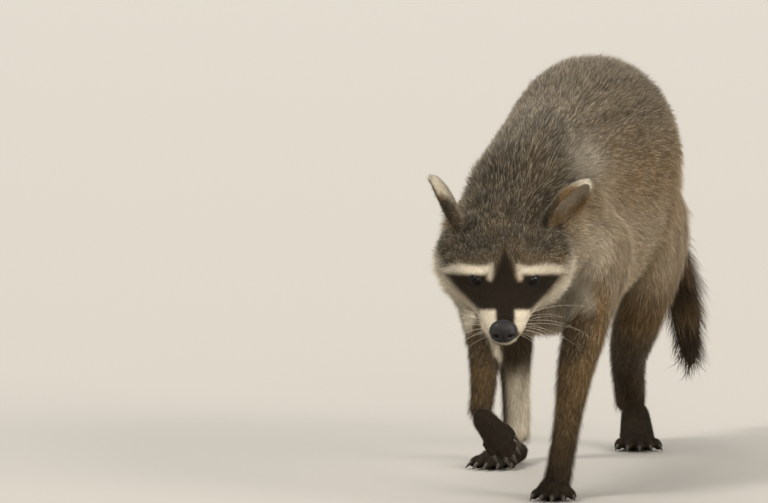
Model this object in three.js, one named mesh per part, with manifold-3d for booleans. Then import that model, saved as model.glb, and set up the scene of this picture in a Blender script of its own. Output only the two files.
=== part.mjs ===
/**
 * Raccoon: a still, life-size model of a walking animal, in millimetres.
 *
 * The animal faces -Y and its own left is +X. It walks with its head low and turned a little to its
 * left, its right forepaw lifted, its right hind foot stepping forward and its tail hanging. Every
 * outline is that of the tips of the coat.
 *
 * Each part is a loft: superellipse rings carried along a curve. Parts are set down in order, and each
 * new one is cut back from those already there by the seam gap, so neighbours meet and never overlap.
 */
import * as THREE from 'three';
import { mergeVertices } from 'three/addons/utils/BufferGeometryUtils.js';
import Module from 'manifold-3d';

const wasm = await Module();
wasm.setup();

// ---------------------------------------------------------------------------------- driving sizes
const SEAM = 0.3; // gap between neighbouring parts
const BACK_TOP = 344; // highest point of the rump above the floor
const TRUNK_FRONT = 44; // front of the chest behind the left forepaw
const TRUNK_LENGTH = 386;
const CHEST_HALF_WIDTH = 64;
const RUMP_HALF_WIDTH = 77;
const EYE_SPACING = 41.5;
const EYE_RADIUS = 7.4;
const EYE_MIDDLE = [-2, -20, 177]; // point between the two eyes
const HEAD_YAW = THREE.MathUtils.degToRad(13); // the face turns to the animal's left
const HEAD_PITCH = THREE.MathUtils.degToRad(24); // and looks down
const MUZZLE_LENGTH = 61; // from the eyes to the front of the nose
const CHEEK_HALF_WIDTH = 56.5;
const NOSE_WIDTH = 22;
const NOSE_HEIGHT = 18;
const EAR_LENGTH = 57;
const EAR_WIDTH = 27;
const LEFT_EAR = { turn: 0.45, lean: 0.62, tip: 0.24 }; // cupped forward, toward what it listens to
const RIGHT_EAR = { turn: 1.3, lean: 0.4, tip: 0.24 }; // turned out to the side
const FOREPAW = { width: 31, palm: 30, toe: 20, toeRadius: 4.6, claw: 7, splay: 0.3, rise: 0 };
const HANGING_PAW = { ...FOREPAW, width: 27, splay: 0.12 };
const HIND_FOOT = { width: 36, palm: 64, toe: 20, toeRadius: 5.2, claw: 8, splay: 0.3, rise: 0 };
const RAISED_HEEL = 26; // height of the trailing hind foot's heel
const TAIL_THICKNESS = 42;
const THROAT = 46; // the head is parted from the neck this far behind the eyes
const SHOULDER_SEAM = 70; // and the trunk here, measured back from the left forepaw
const LOIN_SEAM = 150;
const HIP_SEAM = 280;

const COLOURS = {
  greyBrown: 0x6e6353,
  darkBrown: 0x3e3226,
  tan: 0x8d7350,
  mask: 0x2a221d,
  cream: 0xcdbfa6,
  nose: 0x2b2b30,
  eye: 0x120d0a,
};

// ---------------------------------------------------------------------------------- shape helpers
/** Six times the volume that a welded geometry's triangles enclose, below zero if wound inward. */
function windingVolume(place, corners) {
  const [a, b, c] = [0, 1, 2].map(() => new THREE.Vector3());
  let sum = 0;
  for (let i = 0; i < corners.length; i += 3) {
    a.fromBufferAttribute(place, corners[i]);
    b.fromBufferAttribute(place, corners[i + 1]);
    c.fromBufferAttribute(place, corners[i + 2]);
    sum += a.dot(b.cross(c));
  }
  return sum;
}

/** A closed three.js geometry as a manifold solid, moved out along its normals by grow. */
function solid(geometry, grow = 0) {
  const bare = geometry.clone();
  bare.deleteAttribute('normal');
  bare.deleteAttribute('uv');
  const welded = mergeVertices(bare, 1e-4);
  const place = welded.attributes.position;
  if (windingVolume(place, welded.index.array) < 0) {
    welded.index.array.reverse();
  }
  welded.computeVertexNormals();
  const normal = welded.attributes.normal;
  const points = new Float32Array(place.count * 3);
  for (let i = 0; i < place.count; i += 1) {
    points[3 * i] = place.getX(i) + grow * normal.getX(i);
    points[3 * i + 1] = place.getY(i) + grow * normal.getY(i);
    points[3 * i + 2] = place.getZ(i) + grow * normal.getZ(i);
  }
  const triVerts = new Uint32Array(welded.index.array);
  return new wasm.Manifold(new wasm.Mesh({ numProp: 3, vertProperties: points, triVerts }));
}

/** Sign of c times |c| to the power that makes a circle a superellipse of exponent n. */
function squared(c, n) {
  return Math.sign(c) * Math.abs(c) ** (2 / n);
}

/**
 * Rings carried along a curve. A station is [x, y, z, half width, rise above, fall below]. side is the
 * direction that half widths are measured in; ends gives the share of the length that rounds each end.
 */
function loft(stations, { around = 16, along = 12, side = [1, 0, 0], n = 2, ends = [0.2, 0.2], grow = 0 }) {
  const path = new THREE.CatmullRomCurve3(stations.map(([x, y, z]) => new THREE.Vector3(x, y, z)));
  const sizes = new THREE.CatmullRomCurve3(stations.map(([, , , w, up, down]) => new THREE.Vector3(w, up, down)));
  const across = new THREE.Vector3(...side);
  const geometry = new THREE.SphereGeometry(1, around, along);
  const place = geometry.attributes.position;
  const unit = new THREE.Vector3();
  for (let i = 0; i < place.count; i += 1) {
    unit.fromBufferAttribute(place, i);
    const v = Math.acos(THREE.MathUtils.clamp(unit.y, -1, 1)) / Math.PI;
    const t = THREE.MathUtils.clamp(THREE.MathUtils.lerp(v, (1 - Math.cos(Math.PI * v)) / 2, 0.7), 0, 1);
    const size = sizes.getPoint(t);
    const round = capShare(t, ends[0]) * capShare(1 - t, ends[1]);
    const ring = Math.hypot(unit.x, unit.z) || 1;
    const cos = squared(unit.x / ring, n);
    const sin = squared(unit.z / ring, n);
    const forward = path.getTangent(t);
    const left = across.clone().addScaledVector(forward, -across.dot(forward)).normalize();
    const up = new THREE.Vector3().crossVectors(left, forward).normalize();
    const onPole = unit.y > 0.99999 || unit.y < -0.99999 ? 0 : 1;
    const centre = path.getPoint(t);
    centre.addScaledVector(left, onPole * cos * size.x * round);
    centre.addScaledVector(up, onPole * sin * (sin > 0 ? size.y : size.z) * round);
    place.setXYZ(i, centre.x, centre.y, centre.z);
  }
  return solid(geometry, grow);
}

/** How full a ring is at share t of the length, where the end rounds off over share e. */
function capShare(t, e) {
  return t >= e ? 1 : Math.sqrt(Math.max(0, 1 - (1 - t / e) ** 2));
}

/** An ellipsoid with half axes a, b, c about a centre. */
function ellipsoid([a, b, c], centre, { around = 14, along = 9, grow = 0 } = {}) {
  const geometry = new THREE.SphereGeometry(1, around, along);
  geometry.rotateX(Math.PI / 2);
  geometry.scale(a, b, c);
  geometry.translate(...centre);
  return solid(geometry, grow);
}

/** A box given by two opposite corners. */
function block(low, high) {
  const geometry = new THREE.BoxGeometry(high[0] - low[0], high[1] - low[1], high[2] - low[2]);
  geometry.translate((low[0] + high[0]) / 2, (low[1] + high[1]) / 2, (low[2] + high[2]) / 2);
  return solid(geometry);
}

/** Everything below height z. */
function below(z) {
  return block([-500, -500, z - 400], [500, 900, z]);
}

/** The largest of the bodies that a cut leaves. */
function largest(body) {
  return body.decompose().sort((a, b) => b.volume() - a.volume())[0];
}

/** A frame with its Y axis along forward and its Z axis as near up as it can be. */
function frameAt(origin, forward, up = [0, 0, 1]) {
  const y = new THREE.Vector3(...forward).normalize();
  const x = new THREE.Vector3().crossVectors(y, new THREE.Vector3(...up)).normalize();
  const z = new THREE.Vector3().crossVectors(x, y);
  return new THREE.Matrix4().makeBasis(x, y, z).setPosition(...origin);
}

/** A solid moved by a three.js matrix. */
function moved(body, matrix) {
  return body.transform(matrix.elements);
}

// ------------------------------------------------------------------------------------- the parts
const laid = []; // grown copies of what is already in place
const group = new THREE.Group();

/** A named mesh of a solid. */
function addMesh(name, body, colour, roughness) {
  const mesh = body.getMesh();
  const geometry = new THREE.BufferGeometry();
  const points = new Float32Array(mesh.numVert * 3);
  for (let i = 0; i < mesh.numVert; i += 1) {
    points.set(mesh.vertProperties.subarray(i * mesh.numProp, i * mesh.numProp + 3), 3 * i);
  }
  geometry.setAttribute('position', new THREE.BufferAttribute(points, 3));
  geometry.setIndex(new THREE.BufferAttribute(new Uint32Array(mesh.triVerts), 1));
  geometry.computeVertexNormals();
  const material = new THREE.MeshStandardMaterial({ color: colour, roughness, metalness: 0 });
  const made = new THREE.Mesh(geometry, material);
  made.name = name;
  group.add(made);
}

/** What is left of a shape beside the parts already in place. */
function fitted(body) {
  return largest(laid.reduce((left, there) => left.subtract(there), body));
}

/** Sets one part down: build takes the growth and gives the solid. */
function setDown(name, build, colour, roughness = 0.85) {
  addMesh(name, fitted(build(0)), colour, roughness);
  laid.push(build(SEAM));
}

// The head's own frame: X to the animal's left, Y forward along the muzzle, Z up.
const lookAhead = [
  Math.sin(HEAD_YAW) * Math.cos(HEAD_PITCH),
  -Math.cos(HEAD_YAW) * Math.cos(HEAD_PITCH),
  -Math.sin(HEAD_PITCH),
];
const headFrame = frameAt(EYE_MIDDLE, lookAhead);

/** Which way is left in the head's frame: X there points to the animal's right. */
const LEFT = -1;

/** One eyeball, set in its socket under the brow. */
function eye(sideways, grow) {
  const centre = [(LEFT * sideways * EYE_SPACING) / 2, 2.2, 1];
  const ball = ellipsoid([EYE_RADIUS, EYE_RADIUS, EYE_RADIUS], centre, { around: 12, along: 7, grow });
  return moved(ball, headFrame);
}

/** The bare leather pad at the end of the muzzle, with its two nostrils. */
function nosePad(grow) {
  const half = [NOSE_WIDTH / 2, 7, NOSE_HEIGHT / 2];
  const centre = [0, MUZZLE_LENGTH - 6.5, -17];
  let pad = ellipsoid(half, centre, { around: 14, along: 8, grow });
  for (const sideways of [-1, 1]) {
    const nostril = [sideways * 5.4, MUZZLE_LENGTH + 0.4, -18.5];
    pad = grow > 0 ? pad : pad.subtract(ellipsoid([2.2, 3.2, 2.6], nostril, { around: 8, along: 5 }));
  }
  return moved(pad, headFrame);
}

/** Skull, cheeks and muzzle in one piece. */
function headBody(grow) {
  const skull = [
    [0, -76, -2, 34, 26, 26],
    [0, -62, -2, 50, 36, 40],
    [0, -44, -3, CHEEK_HALF_WIDTH, 37, 46],
    [0, -26, -6, CHEEK_HALF_WIDTH - 2, 35, 44],
    [0, -10, -8, 45, 29, 38],
    [0, 2, -12, 34, 22.5, 31],
    [0, 14, -15, 27, 17, 25],
    [0, 30, -17.5, 21.5, 14, 19],
    [0, 45, -18.5, 18, 11.5, 15],
    [0, MUZZLE_LENGTH - 4, -19, 15, 9.5, 11],
  ];
  return moved(loft(skull, { around: 22, along: 18, n: 2.15, ends: [0.16, 0.12], grow }), headFrame);
}

/** The lower jaw, closed under the muzzle. */
function jaw(grow) {
  const mandible = [
    [0, -8, -38, 22, 10, 12],
    [0, 14, -37, 17, 10, 9],
    [0, 32, -34, 13, 9, 7],
    [0, 47, -31, 10, 8, 6],
  ];
  return moved(loft(mandible, { around: 10, along: 7, grow }), headFrame);
}

/** An upright cupped ear; turn swings its opening outward, lean tips it away from the crown. */
function ear(sideways, { turn, lean, tip }, grow) {
  const hand = LEFT * sideways;
  const half = [EAR_WIDTH / 2, 9, EAR_LENGTH / 2];
  const shell = ellipsoid(half, [0, 0, 0], { around: 16, along: 10, grow });
  const hollow = ellipsoid([half[0] - 3, 10, half[2] - 3.5], [0, 6.5, 0.5], { around: 12, along: 8 });
  const cup = grow > 0 ? shell : shell.subtract(hollow);
  const stand = new THREE.Matrix4().makeTranslation(hand * 42, -42, 30);
  stand.multiply(new THREE.Matrix4().makeRotationY(hand * lean));
  stand.multiply(new THREE.Matrix4().makeRotationZ(-hand * turn));
  stand.multiply(new THREE.Matrix4().makeTranslation(0, 0, EAR_LENGTH * tip));
  return moved(moved(cup, stand), headFrame);
}

/** The whole trunk, arched, highest at the rump. */
function trunk(grow) {
  const rear = TRUNK_FRONT + TRUNK_LENGTH;
  const rumpMiddle = BACK_TOP - 104;
  const stations = [
    [0, TRUNK_FRONT, 196, 44, 62, 52],
    [0, TRUNK_FRONT + 40, 202, CHEST_HALF_WIDTH - 4, 88, 82],
    [0, TRUNK_FRONT + 95, 210, CHEST_HALF_WIDTH, 97, 94],
    [0, TRUNK_FRONT + 165, 218, CHEST_HALF_WIDTH + 4, 102, 98],
    [0, TRUNK_FRONT + 235, 230, RUMP_HALF_WIDTH - 3, 107, 100],
    [0, rear - 90, rumpMiddle, RUMP_HALF_WIDTH, 104, 96],
    [0, rear - 40, rumpMiddle - 4, RUMP_HALF_WIDTH - 10, 90, 80],
    [0, rear, rumpMiddle - 8, 40, 54, 50],
  ];
  return loft(stations, { around: 22, along: 18, n: 2.1, ends: [0.1, 0.12], grow });
}

/** The short, thick neck between the lowered head and the shoulders. */
function neck(grow) {
  const stations = [
    [-8, 0, 188, 32, 32, 38],
    [-7, 34, 206, 46, 43, 56],
    [-3, 70, 222, 56, 62, 70],
    [0, 112, 232, 54, 66, 76],
  ];
  return loft(stations, { around: 18, along: 8, n: 2.1, grow });
}

/** Length of a leg between two named joints, as a loft through given stations. */
function limb(stations, grow, ends = [0.22, 0.16]) {
  return loft(stations, { around: 12, along: 8, ends, grow });
}

/**
 * A paw in its own frame: toes toward +Y, sole on z = 0. The palm reaches back from the toes' roots,
 * with its heel lifted by rise, and the toes fan out by splay on each side.
 */
function paw({ width, palm, toe, toeRadius, claw, splay, rise }, grow) {
  const half = width / 2;
  const pad = [
    [0, -palm, 9.5 + rise, half * 0.62, 9, 11],
    [0, -palm * 0.55, 9.5 + rise * 0.5, half * 0.76, 10, 11.5],
    [0, -palm * 0.2, 8, half * 0.9, 9.5, 10],
    [0, 4, 6.5, half * 0.95, 6.5, 8.5],
  ];
  let foot = loft(pad, { around: 10, along: 5, ends: [0.25, 0.2], grow });
  for (const finger of [-2, -1, 0, 1, 2]) {
    foot = foot.add(digit(finger, { half, toe, toeRadius, claw, splay }, grow));
  }
  return foot.subtract(below(0));
}

/** One toe with its claw; finger runs from -2 to 2 across the paw. */
function digit(finger, { half, toe, toeRadius, claw, splay }, grow) {
  const angle = (finger / 2) * splay;
  const reach = toe * (1 - 0.07 * finger * finger);
  const root = [(finger / 2) * (half - toeRadius * 0.8), -3 - 1.2 * finger * finger];
  const along = [Math.sin(angle), Math.cos(angle)];
  const at = (s, z, r) => [root[0] + along[0] * s, root[1] + along[1] * s, z, r, r, r];
  const bone = [
    at(0, toeRadius * 1.15, toeRadius * 0.95),
    at(reach * 0.5, toeRadius * 1.1, toeRadius * 0.95),
    at(reach, toeRadius * 0.72, toeRadius * 0.9),
  ];
  const nail = [
    at(reach - toeRadius * 0.5, toeRadius * 1.05, 1.9),
    at(reach + claw * 0.45, toeRadius * 1.05, 1.5),
    at(reach + claw, toeRadius * 0.5, 0.7),
  ];
  const side = [Math.cos(angle), -Math.sin(angle), 0];
  const flesh = loft(bone, { around: 6, along: 4, side, ends: [0.2, 0.3], grow });
  return flesh.add(loft(nail, { around: 4, along: 3, side, ends: [0.1, 0.3], grow }));
}

const earthward = (heading) => [Math.sin(heading), -Math.cos(heading), 0];

// Each leg: where its paw stands or hangs, and the stations of its upper and lower lengths.
const LEGS = {
  foreleg_left: {
    names: ['upper_arm_left', 'forearm_left', 'forepaw_left'],
    upper: [
      [50, 104, 222, 22, 40, 34],
      [55, 96, 190, 24, 38, 34],
      [53, 74, 158, 21, 27, 27],
      [50, 52, 132, 17, 20, 20],
    ],
    lower: [
      [53, 66, 158, 19, 22, 22],
      [50, 47, 132, 17.5, 19, 19],
      [46, 30, 104, 15, 16, 16],
      [42, 18, 66, 11.5, 12, 12],
      [37, 13, 30, 10.5, 11, 11],
      [35, 9, 12, 11.5, 11, 11],
    ],
    foot: FOREPAW,
    place: frameAt([35, -6, 0], earthward(0.12)),
  },
  foreleg_right: {
    names: ['upper_arm_right', 'forearm_right', 'forepaw_right'],
    upper: [
      [-50, 104, 226, 22, 40, 34],
      [-53, 84, 196, 24, 36, 34],
      [-44, 58, 166, 21, 27, 27],
      [-34, 34, 150, 17, 20, 20],
    ],
    lower: [
      [-40, 46, 168, 18, 21, 21],
      [-32, 27, 149, 17, 20, 19],
      [-22, -2, 122, 14, 15, 15],
      [-18, -26, 92, 10.5, 11.5, 11.5],
      [-17, -42, 68, 9.5, 10, 10],
    ],
    foot: HANGING_PAW,
    place: frameAt([-3, -40, 50], [0.62, 0.16, -0.75], [0.45, -0.85, 0.2]),
  },
  hindleg_left: {
    names: ['thigh_left', 'shank_left', 'hind_foot_left'],
    upper: [
      [44, 352, 232, 30, 52, 56],
      [53, 340, 196, 30, 50, 52],
      [53, 320, 156, 26, 38, 38],
      [46, 318, 122, 22, 27, 27],
    ],
    lower: [
      [50, 314, 158, 24, 30, 28],
      [45, 320, 130, 22, 27, 25],
      [33, 348, 104, 19, 21, 21],
      [20, 392, 76, 15.5, 15, 15],
      [16, 421, 46, 14, 13, 14],
      [17, 422, 28, 13.5, 12, 13],
    ],
    foot: { ...HIND_FOOT, rise: RAISED_HEEL },
    place: frameAt([34, 364, 0], earthward(0.24)),
  },
  hindleg_right: {
    names: ['thigh_right', 'shank_right', 'hind_foot_right'],
    upper: [
      [-44, 346, 230, 30, 52, 56],
      [-54, 320, 196, 29, 48, 50],
      [-56, 276, 160, 24, 36, 36],
      [-53, 240, 138, 19, 25, 25],
    ],
    lower: [
      [-54, 244, 170, 20, 27, 26],
      [-52, 236, 142, 19, 25, 24],
      [-51, 244, 110, 17, 20, 19],
      [-51, 254, 70, 13, 14, 14],
      [-51, 258, 36, 12, 13, 12],
      [-51, 256, 16, 12, 12, 12],
    ],
    foot: HIND_FOOT,
    place: frameAt([-58, 200, 0], earthward(-0.16)),
  },
};

/** The tail, hanging from the rump and swung to the left, thickest at mid length. */
function tailBody(grow) {
  const r = TAIL_THICKNESS / 2;
  const stations = [
    [0, 392, 250, r * 0.9, r, r * 0.9],
    [14, 430, 226, r, r, r],
    [33, 456, 190, r * 1.02, r * 1.02, r * 1.02],
    [47, 470, 150, r, r, r],
    [53, 484, 114, r * 0.92, r * 0.92, r * 0.92],
    [54, 503, 80, r * 0.76, r * 0.76, r * 0.76],
    [52, 525, 50, r * 0.42, r * 0.42, r * 0.42],
  ];
  return loft(stations, { around: 10, along: 15, ends: [0.08, 0.14], grow });
}

/** A thin disc that parts the tail square to its run. */
function tailCut(centre, normal) {
  const disc = new THREE.CylinderGeometry(45, 45, SEAM, 24);
  const turn = new THREE.Quaternion().setFromUnitVectors(
    new THREE.Vector3(0, 1, 0),
    new THREE.Vector3(...normal).normalize(),
  );
  disc.applyQuaternion(turn);
  disc.translate(...centre);
  return solid(disc);
}

// -------------------------------------------------------------------------------------- assembly
for (const [word, sideways] of [['left', 1], ['right', -1]]) {
  setDown(`eye_${word}`, (grow) => eye(sideways, grow), COLOURS.eye, 0.15);
}
setDown('nose', nosePad, COLOURS.nose, 0.45);

// Head, neck and trunk are one smooth body, parted by planes. A plane is a normal and an offset.
const core = (grow) => headBody(grow).add(neck(grow)).add(trunk(grow));
const throatNormal = lookAhead.map((value) => -value);
const eyePoint = new THREE.Vector3(...EYE_MIDDLE);
const throatOffset = THROAT + eyePoint.dot(new THREE.Vector3(...throatNormal));
const CORE_PARTS = [
  ['head', null, [throatNormal, throatOffset]],
  ['neck', [throatNormal, throatOffset], [[0, 1, 0], SHOULDER_SEAM]],
  ['chest', [[0, 1, 0], SHOULDER_SEAM], [[0, 1, 0], LOIN_SEAM]],
  ['belly', [[0, 1, 0], LOIN_SEAM], [[0, 1, 0], HIP_SEAM]],
  ['rump', [[0, 1, 0], HIP_SEAM], null],
];
for (const [name, from, to] of CORE_PARTS) {
  let length = core(0);
  length = from ? length.trimByPlane(from[0], from[1] + SEAM / 2) : length;
  length = to ? length.trimByPlane(to[0].map((value) => -value), -to[1] + SEAM / 2) : length;
  addMesh(name, fitted(length), COLOURS.greyBrown, 0.85);
}
laid.push(core(SEAM));
setDown('jaw', jaw, COLOURS.cream);
setDown('ear_left', (grow) => ear(1, LEFT_EAR, grow), COLOURS.cream);
setDown('ear_right', (grow) => ear(-1, RIGHT_EAR, grow), COLOURS.cream);

for (const { names, upper, lower, foot, place } of Object.values(LEGS)) {
  const [upperName, lowerName, footName] = names;
  setDown(upperName, (grow) => limb(upper, grow), COLOURS.tan);
  setDown(footName, (grow) => moved(paw(foot, grow), place), COLOURS.darkBrown, 0.8);
  setDown(lowerName, (grow) => limb(lower, grow), COLOURS.darkBrown);
}

const tail = fitted(tailBody(0));
const parted = tail
  .subtract(tailCut([36, 459, 182], [0.3, 0.4, -0.9]))
  .subtract(tailCut([53, 489, 106], [0.1, 0.4, -0.9]));
const lengths = parted.decompose().sort((a, b) => b.boundingBox().max[2] - a.boundingBox().max[2]);
['tail_base', 'tail_middle', 'tail_tip'].forEach((name, i) => {
  addMesh(name, lengths[i], COLOURS.darkBrown, 0.85);
});

// The origin goes to the middle of the footprint, on the floor.
const footprint = new THREE.Box3().setFromObject(group).getCenter(new THREE.Vector3());
for (const part of group.children) {
  part.geometry.translate(-footprint.x, -footprint.y, 0);
}

export default group;
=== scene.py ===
# %% [markdown]
# # A walking raccoon, as a museum shows one
# The model is built the way a taxidermist works. First comes the form, a set of simple lengths (skull,
# neck, trunk, leg bones with their muscle) that are melted into one body. Over it goes one skin, then
# the coat, lock by lock, and last the eyes, the nose leather, the claws and the whiskers.
# Everything is in metres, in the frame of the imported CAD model: the animal faces -Y, its left is +X.
# %% The frame and the CAD model's box
import bmesh
import bpy
import numpy as np
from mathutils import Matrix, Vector


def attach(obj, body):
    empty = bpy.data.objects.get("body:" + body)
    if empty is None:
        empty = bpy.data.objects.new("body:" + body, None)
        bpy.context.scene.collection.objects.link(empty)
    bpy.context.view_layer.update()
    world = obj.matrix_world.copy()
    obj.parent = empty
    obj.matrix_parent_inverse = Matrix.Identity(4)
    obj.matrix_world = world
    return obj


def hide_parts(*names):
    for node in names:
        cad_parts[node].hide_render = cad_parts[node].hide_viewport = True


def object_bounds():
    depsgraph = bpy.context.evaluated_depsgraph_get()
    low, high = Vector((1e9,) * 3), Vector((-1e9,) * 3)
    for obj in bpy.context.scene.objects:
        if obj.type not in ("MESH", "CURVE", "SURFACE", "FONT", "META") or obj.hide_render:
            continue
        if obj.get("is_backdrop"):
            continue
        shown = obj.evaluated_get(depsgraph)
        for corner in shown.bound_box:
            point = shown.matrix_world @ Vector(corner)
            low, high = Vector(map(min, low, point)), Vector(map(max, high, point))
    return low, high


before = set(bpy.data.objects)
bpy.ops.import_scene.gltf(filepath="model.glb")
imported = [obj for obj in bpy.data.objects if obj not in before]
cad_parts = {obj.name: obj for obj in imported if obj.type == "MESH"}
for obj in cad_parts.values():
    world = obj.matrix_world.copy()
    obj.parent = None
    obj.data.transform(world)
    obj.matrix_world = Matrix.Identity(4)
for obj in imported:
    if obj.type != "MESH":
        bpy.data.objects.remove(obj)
CAD_BOX = [list(corner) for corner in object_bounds()]
print("CAD box", CAD_BOX)

# %% [markdown]
# ## Camera, floor and light
# The animal is seen with a long lens from about four metres, a little above its own height. A long lens
# keeps the far hind foot nearly as large as the near forepaw, which is what gives a wildlife view its
# calm. The camera comes first, so that every later piece is judged from the same place.
# %% Camera
LENS_MM = 238.0
CAMERA_PLACE = Vector((0.830, -4.1523, 0.480))
CAMERA_AIM = Vector((-0.2311, 0.9704, -0.0705))

camera_data = bpy.data.cameras.new("camera")
camera_data.lens = LENS_MM
camera_data.sensor_width = 36.0
camera_data.clip_end = 60.0
camera = bpy.data.objects.new("camera", camera_data)
camera.location = CAMERA_PLACE
camera.rotation_mode = "QUATERNION"
camera.rotation_quaternion = CAMERA_AIM.to_track_quat("-Z", "Y")
bpy.context.scene.collection.objects.link(camera)
bpy.context.scene.camera = camera
print("camera at", tuple(CAMERA_PLACE))

# %% [markdown]
# ## One way to write a material
# A shader is a small sum: this noise, times that mask, mixed into a colour. Written node by node it is
# hard to read, so one class wraps a socket and lets plain Python operators add the Math nodes.
# %% A socket that can be added, scaled and mixed
class Socket:
    """Wraps an output socket. a + b, a - b, a * b and a / b, with numbers on either side, add Math nodes."""

    def __init__(self, tree, socket):
        self.tree = tree
        self.socket = socket

    def node(self, kind, settings=None, out=0, **inputs):
        """Adds a node: settings are its own properties, set first, then each input's value or link."""
        made = self.tree.nodes.new(kind)
        for key, value in (settings or {}).items():
            if key == "stops":
                fill_ramp(made.color_ramp, value)
            else:
                setattr(made, key, value)
        for key, value in inputs.items():
            numbered = key[0] == "i" and key[1:].isdigit()
            target = made.inputs[int(key[1:])] if numbered else made.inputs[key.replace("_", " ")]
            if isinstance(value, Socket):
                self.tree.links.new(value.socket, target)
            else:
                target.default_value = value
        return Socket(self.tree, made.outputs[out])

    def math(self, operation, *values, clamp=False):
        """One Math node on up to three values."""
        inputs = {f"i{i}": value for i, value in enumerate(values)}
        return self.node("ShaderNodeMath", {"operation": operation, "use_clamp": clamp}, **inputs)

    def __add__(self, other):
        return self.math("ADD", self, other)

    def __sub__(self, other):
        return self.math("SUBTRACT", self, other)

    def __rsub__(self, other):
        return self.math("SUBTRACT", other, self)

    def __mul__(self, other):
        return self.math("MULTIPLY", self, other)

    def __truediv__(self, other):
        return self.math("DIVIDE", self, other)

    __radd__ = __add__
    __rmul__ = __mul__

    def clamped(self):
        """The value held between 0 and 1."""
        return self.math("ADD", self, 0.0, clamp=True)

    def mix(self, first, second):
        """Colour first where this factor is 0 and second where it is 1."""
        made = self.tree.nodes.new("ShaderNodeMix")
        made.data_type = "RGBA"
        for target, value in zip([made.inputs[0], made.inputs[6], made.inputs[7]], [self, first, second]):
            if isinstance(value, Socket):
                self.tree.links.new(value.socket, target)
            else:
                target.default_value = value
        return Socket(self.tree, made.outputs[2])


def fill_ramp(ramp, stops):
    """Sets a colour ramp's stops, each (place, colour)."""
    while len(ramp.elements) > 1:
        ramp.elements.remove(ramp.elements[-1])
    ramp.elements[0].position, ramp.elements[0].color = stops[0]
    for place, colour in stops[1:]:
        ramp.elements.new(place).color = colour


def srgb(r, g, b):
    """A colour named by its screen values, 0 to 255, as the linear values that a shader takes."""
    c = np.array([r, g, b]) / 255.0
    linear = np.where(c <= 0.04045, c / 12.92, ((c + 0.055) / 1.055) ** 2.4)
    return (*linear.tolist(), 1.0)


def new_material(name, **fixed):
    """A new material, its Principled node and a Socket to build from. fixed sets plain sockets."""
    material = bpy.data.materials.new(name)
    material.use_nodes = True
    tree = material.node_tree
    shader = tree.nodes["Principled BSDF"]
    for key, value in fixed.items():
        shader.inputs[key.replace("_", " ")].default_value = value
    return material, shader, Socket(tree, None)


def feed(shader, name, socket):
    """Links a Socket to one of the shader's inputs."""
    socket.tree.links.new(socket.socket, shader.inputs[name])


# %% [markdown]
# The studio is a pale floor under a pale sky. One broad, soft lamp stands far off, high on the left, so
# that it lights the whole floor alike. A softer one fills from the right, a third from low in front, and
# a last one behind draws the fringe of the coat along the back.
# %% Floor, sky and lamps
FLOOR_HALF_SIZE = 60.0
SKY_COLOUR = srgb(228, 226, 222)
SKY_STRENGTH = 1.0
LAMPS = [
    ("key_lamp", (-0.85, -0.9, 1.05), 15.0, 2.3, (1.0, 0.96, 0.90)),
    ("fill_lamp", (1.2, -0.35, 0.5), 35.0, 2.6, (1.0, 0.95, 0.88)),
    ("front_lamp", (0.45, -1.0, 0.16), 40.0, 1.5, (1.0, 0.95, 0.88)),
    ("rim_lamp", (-0.25, 1.0, 0.8), 35.0, 1.2, (1.0, 0.97, 0.92)),
]

floor_mesh = bpy.data.meshes.new("floor")
floor_corners = [(x * FLOOR_HALF_SIZE, y * FLOOR_HALF_SIZE, 0) for x, y in ((-1, -1), (1, -1), (1, 1),
                 (-1, 1))]
floor_mesh.from_pydata(floor_corners, [], [(0, 1, 2, 3)])
floor = bpy.data.objects.new("floor", floor_mesh)
bpy.context.scene.collection.objects.link(floor)
floor_material, floor_shader, at = new_material("pale_floor", Roughness=0.9)
cloud = at.node("ShaderNodeTexNoise", Scale=1.7, Detail=3.0)
feed(floor_shader, "Base Color", cloud.mix(srgb(158, 154, 147), srgb(164, 160, 153)))
floor_mesh.materials.append(floor_material)
floor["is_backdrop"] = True

world = bpy.data.worlds.new("studio")
world.use_nodes = True
sky = world.node_tree.nodes["Background"].inputs
sky["Color"].default_value = SKY_COLOUR
sky["Strength"].default_value = SKY_STRENGTH
bpy.context.scene.world = world
bpy.context.scene.view_settings.view_transform = "Standard"

for name, lamp_side, softness, strength, colour in LAMPS:
    lamp_data = bpy.data.lights.new(name, "SUN")
    lamp_data.angle = np.radians(softness)
    lamp_data.energy = strength
    lamp_data.color = colour
    lamp = bpy.data.objects.new(name, lamp_data)
    lamp.rotation_mode = "QUATERNION"
    lamp.rotation_quaternion = Vector(lamp_side).to_track_quat("Z", "Y")
    bpy.context.scene.collection.objects.link(lamp)
print("studio ready")

# %% [markdown]
# ## The form under the skin
# An animal's body is a few bent lengths of changing girth. Each one is given by stations, as a tailor
# would take them: a place on its middle line, its half width, and how far it rises above and falls below
# that line. The numbers are those of the CAD model, in millimetres from the left forepaw, and they reach
# to the tips of the coat, so the form is drawn in by the depth of the coat to find the skin.
# %% Rings carried along a curve
MM = 0.001
FOREPAW_FROM_CENTRE = np.array([0.0, -228.33, 0.0])


def through(stations, t):
    """Catmull-Rom spline through the rows of stations at shares t: cubic pieces whose slope at a row is
    half the step between its two neighbours."""
    rows = np.vstack([2 * stations[0] - stations[1], stations, 2 * stations[-1] - stations[-2]])
    at_row = np.clip(t, 0, 1) * (len(stations) - 1)
    i = np.minimum(at_row.astype(int), len(stations) - 2)
    f = (at_row - i)[:, None]
    a, b, c, d = rows[i], rows[i + 1], rows[i + 2], rows[i + 3]
    return b + 0.5 * f * (c - a + f * (2 * a - 5 * b + 4 * c - d + f * (3 * (b - c) + d - a)))


def unit(v):
    """Each row of v divided by its length."""
    return v / np.maximum(np.linalg.norm(v, axis=-1, keepdims=True), 1e-12)


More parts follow.
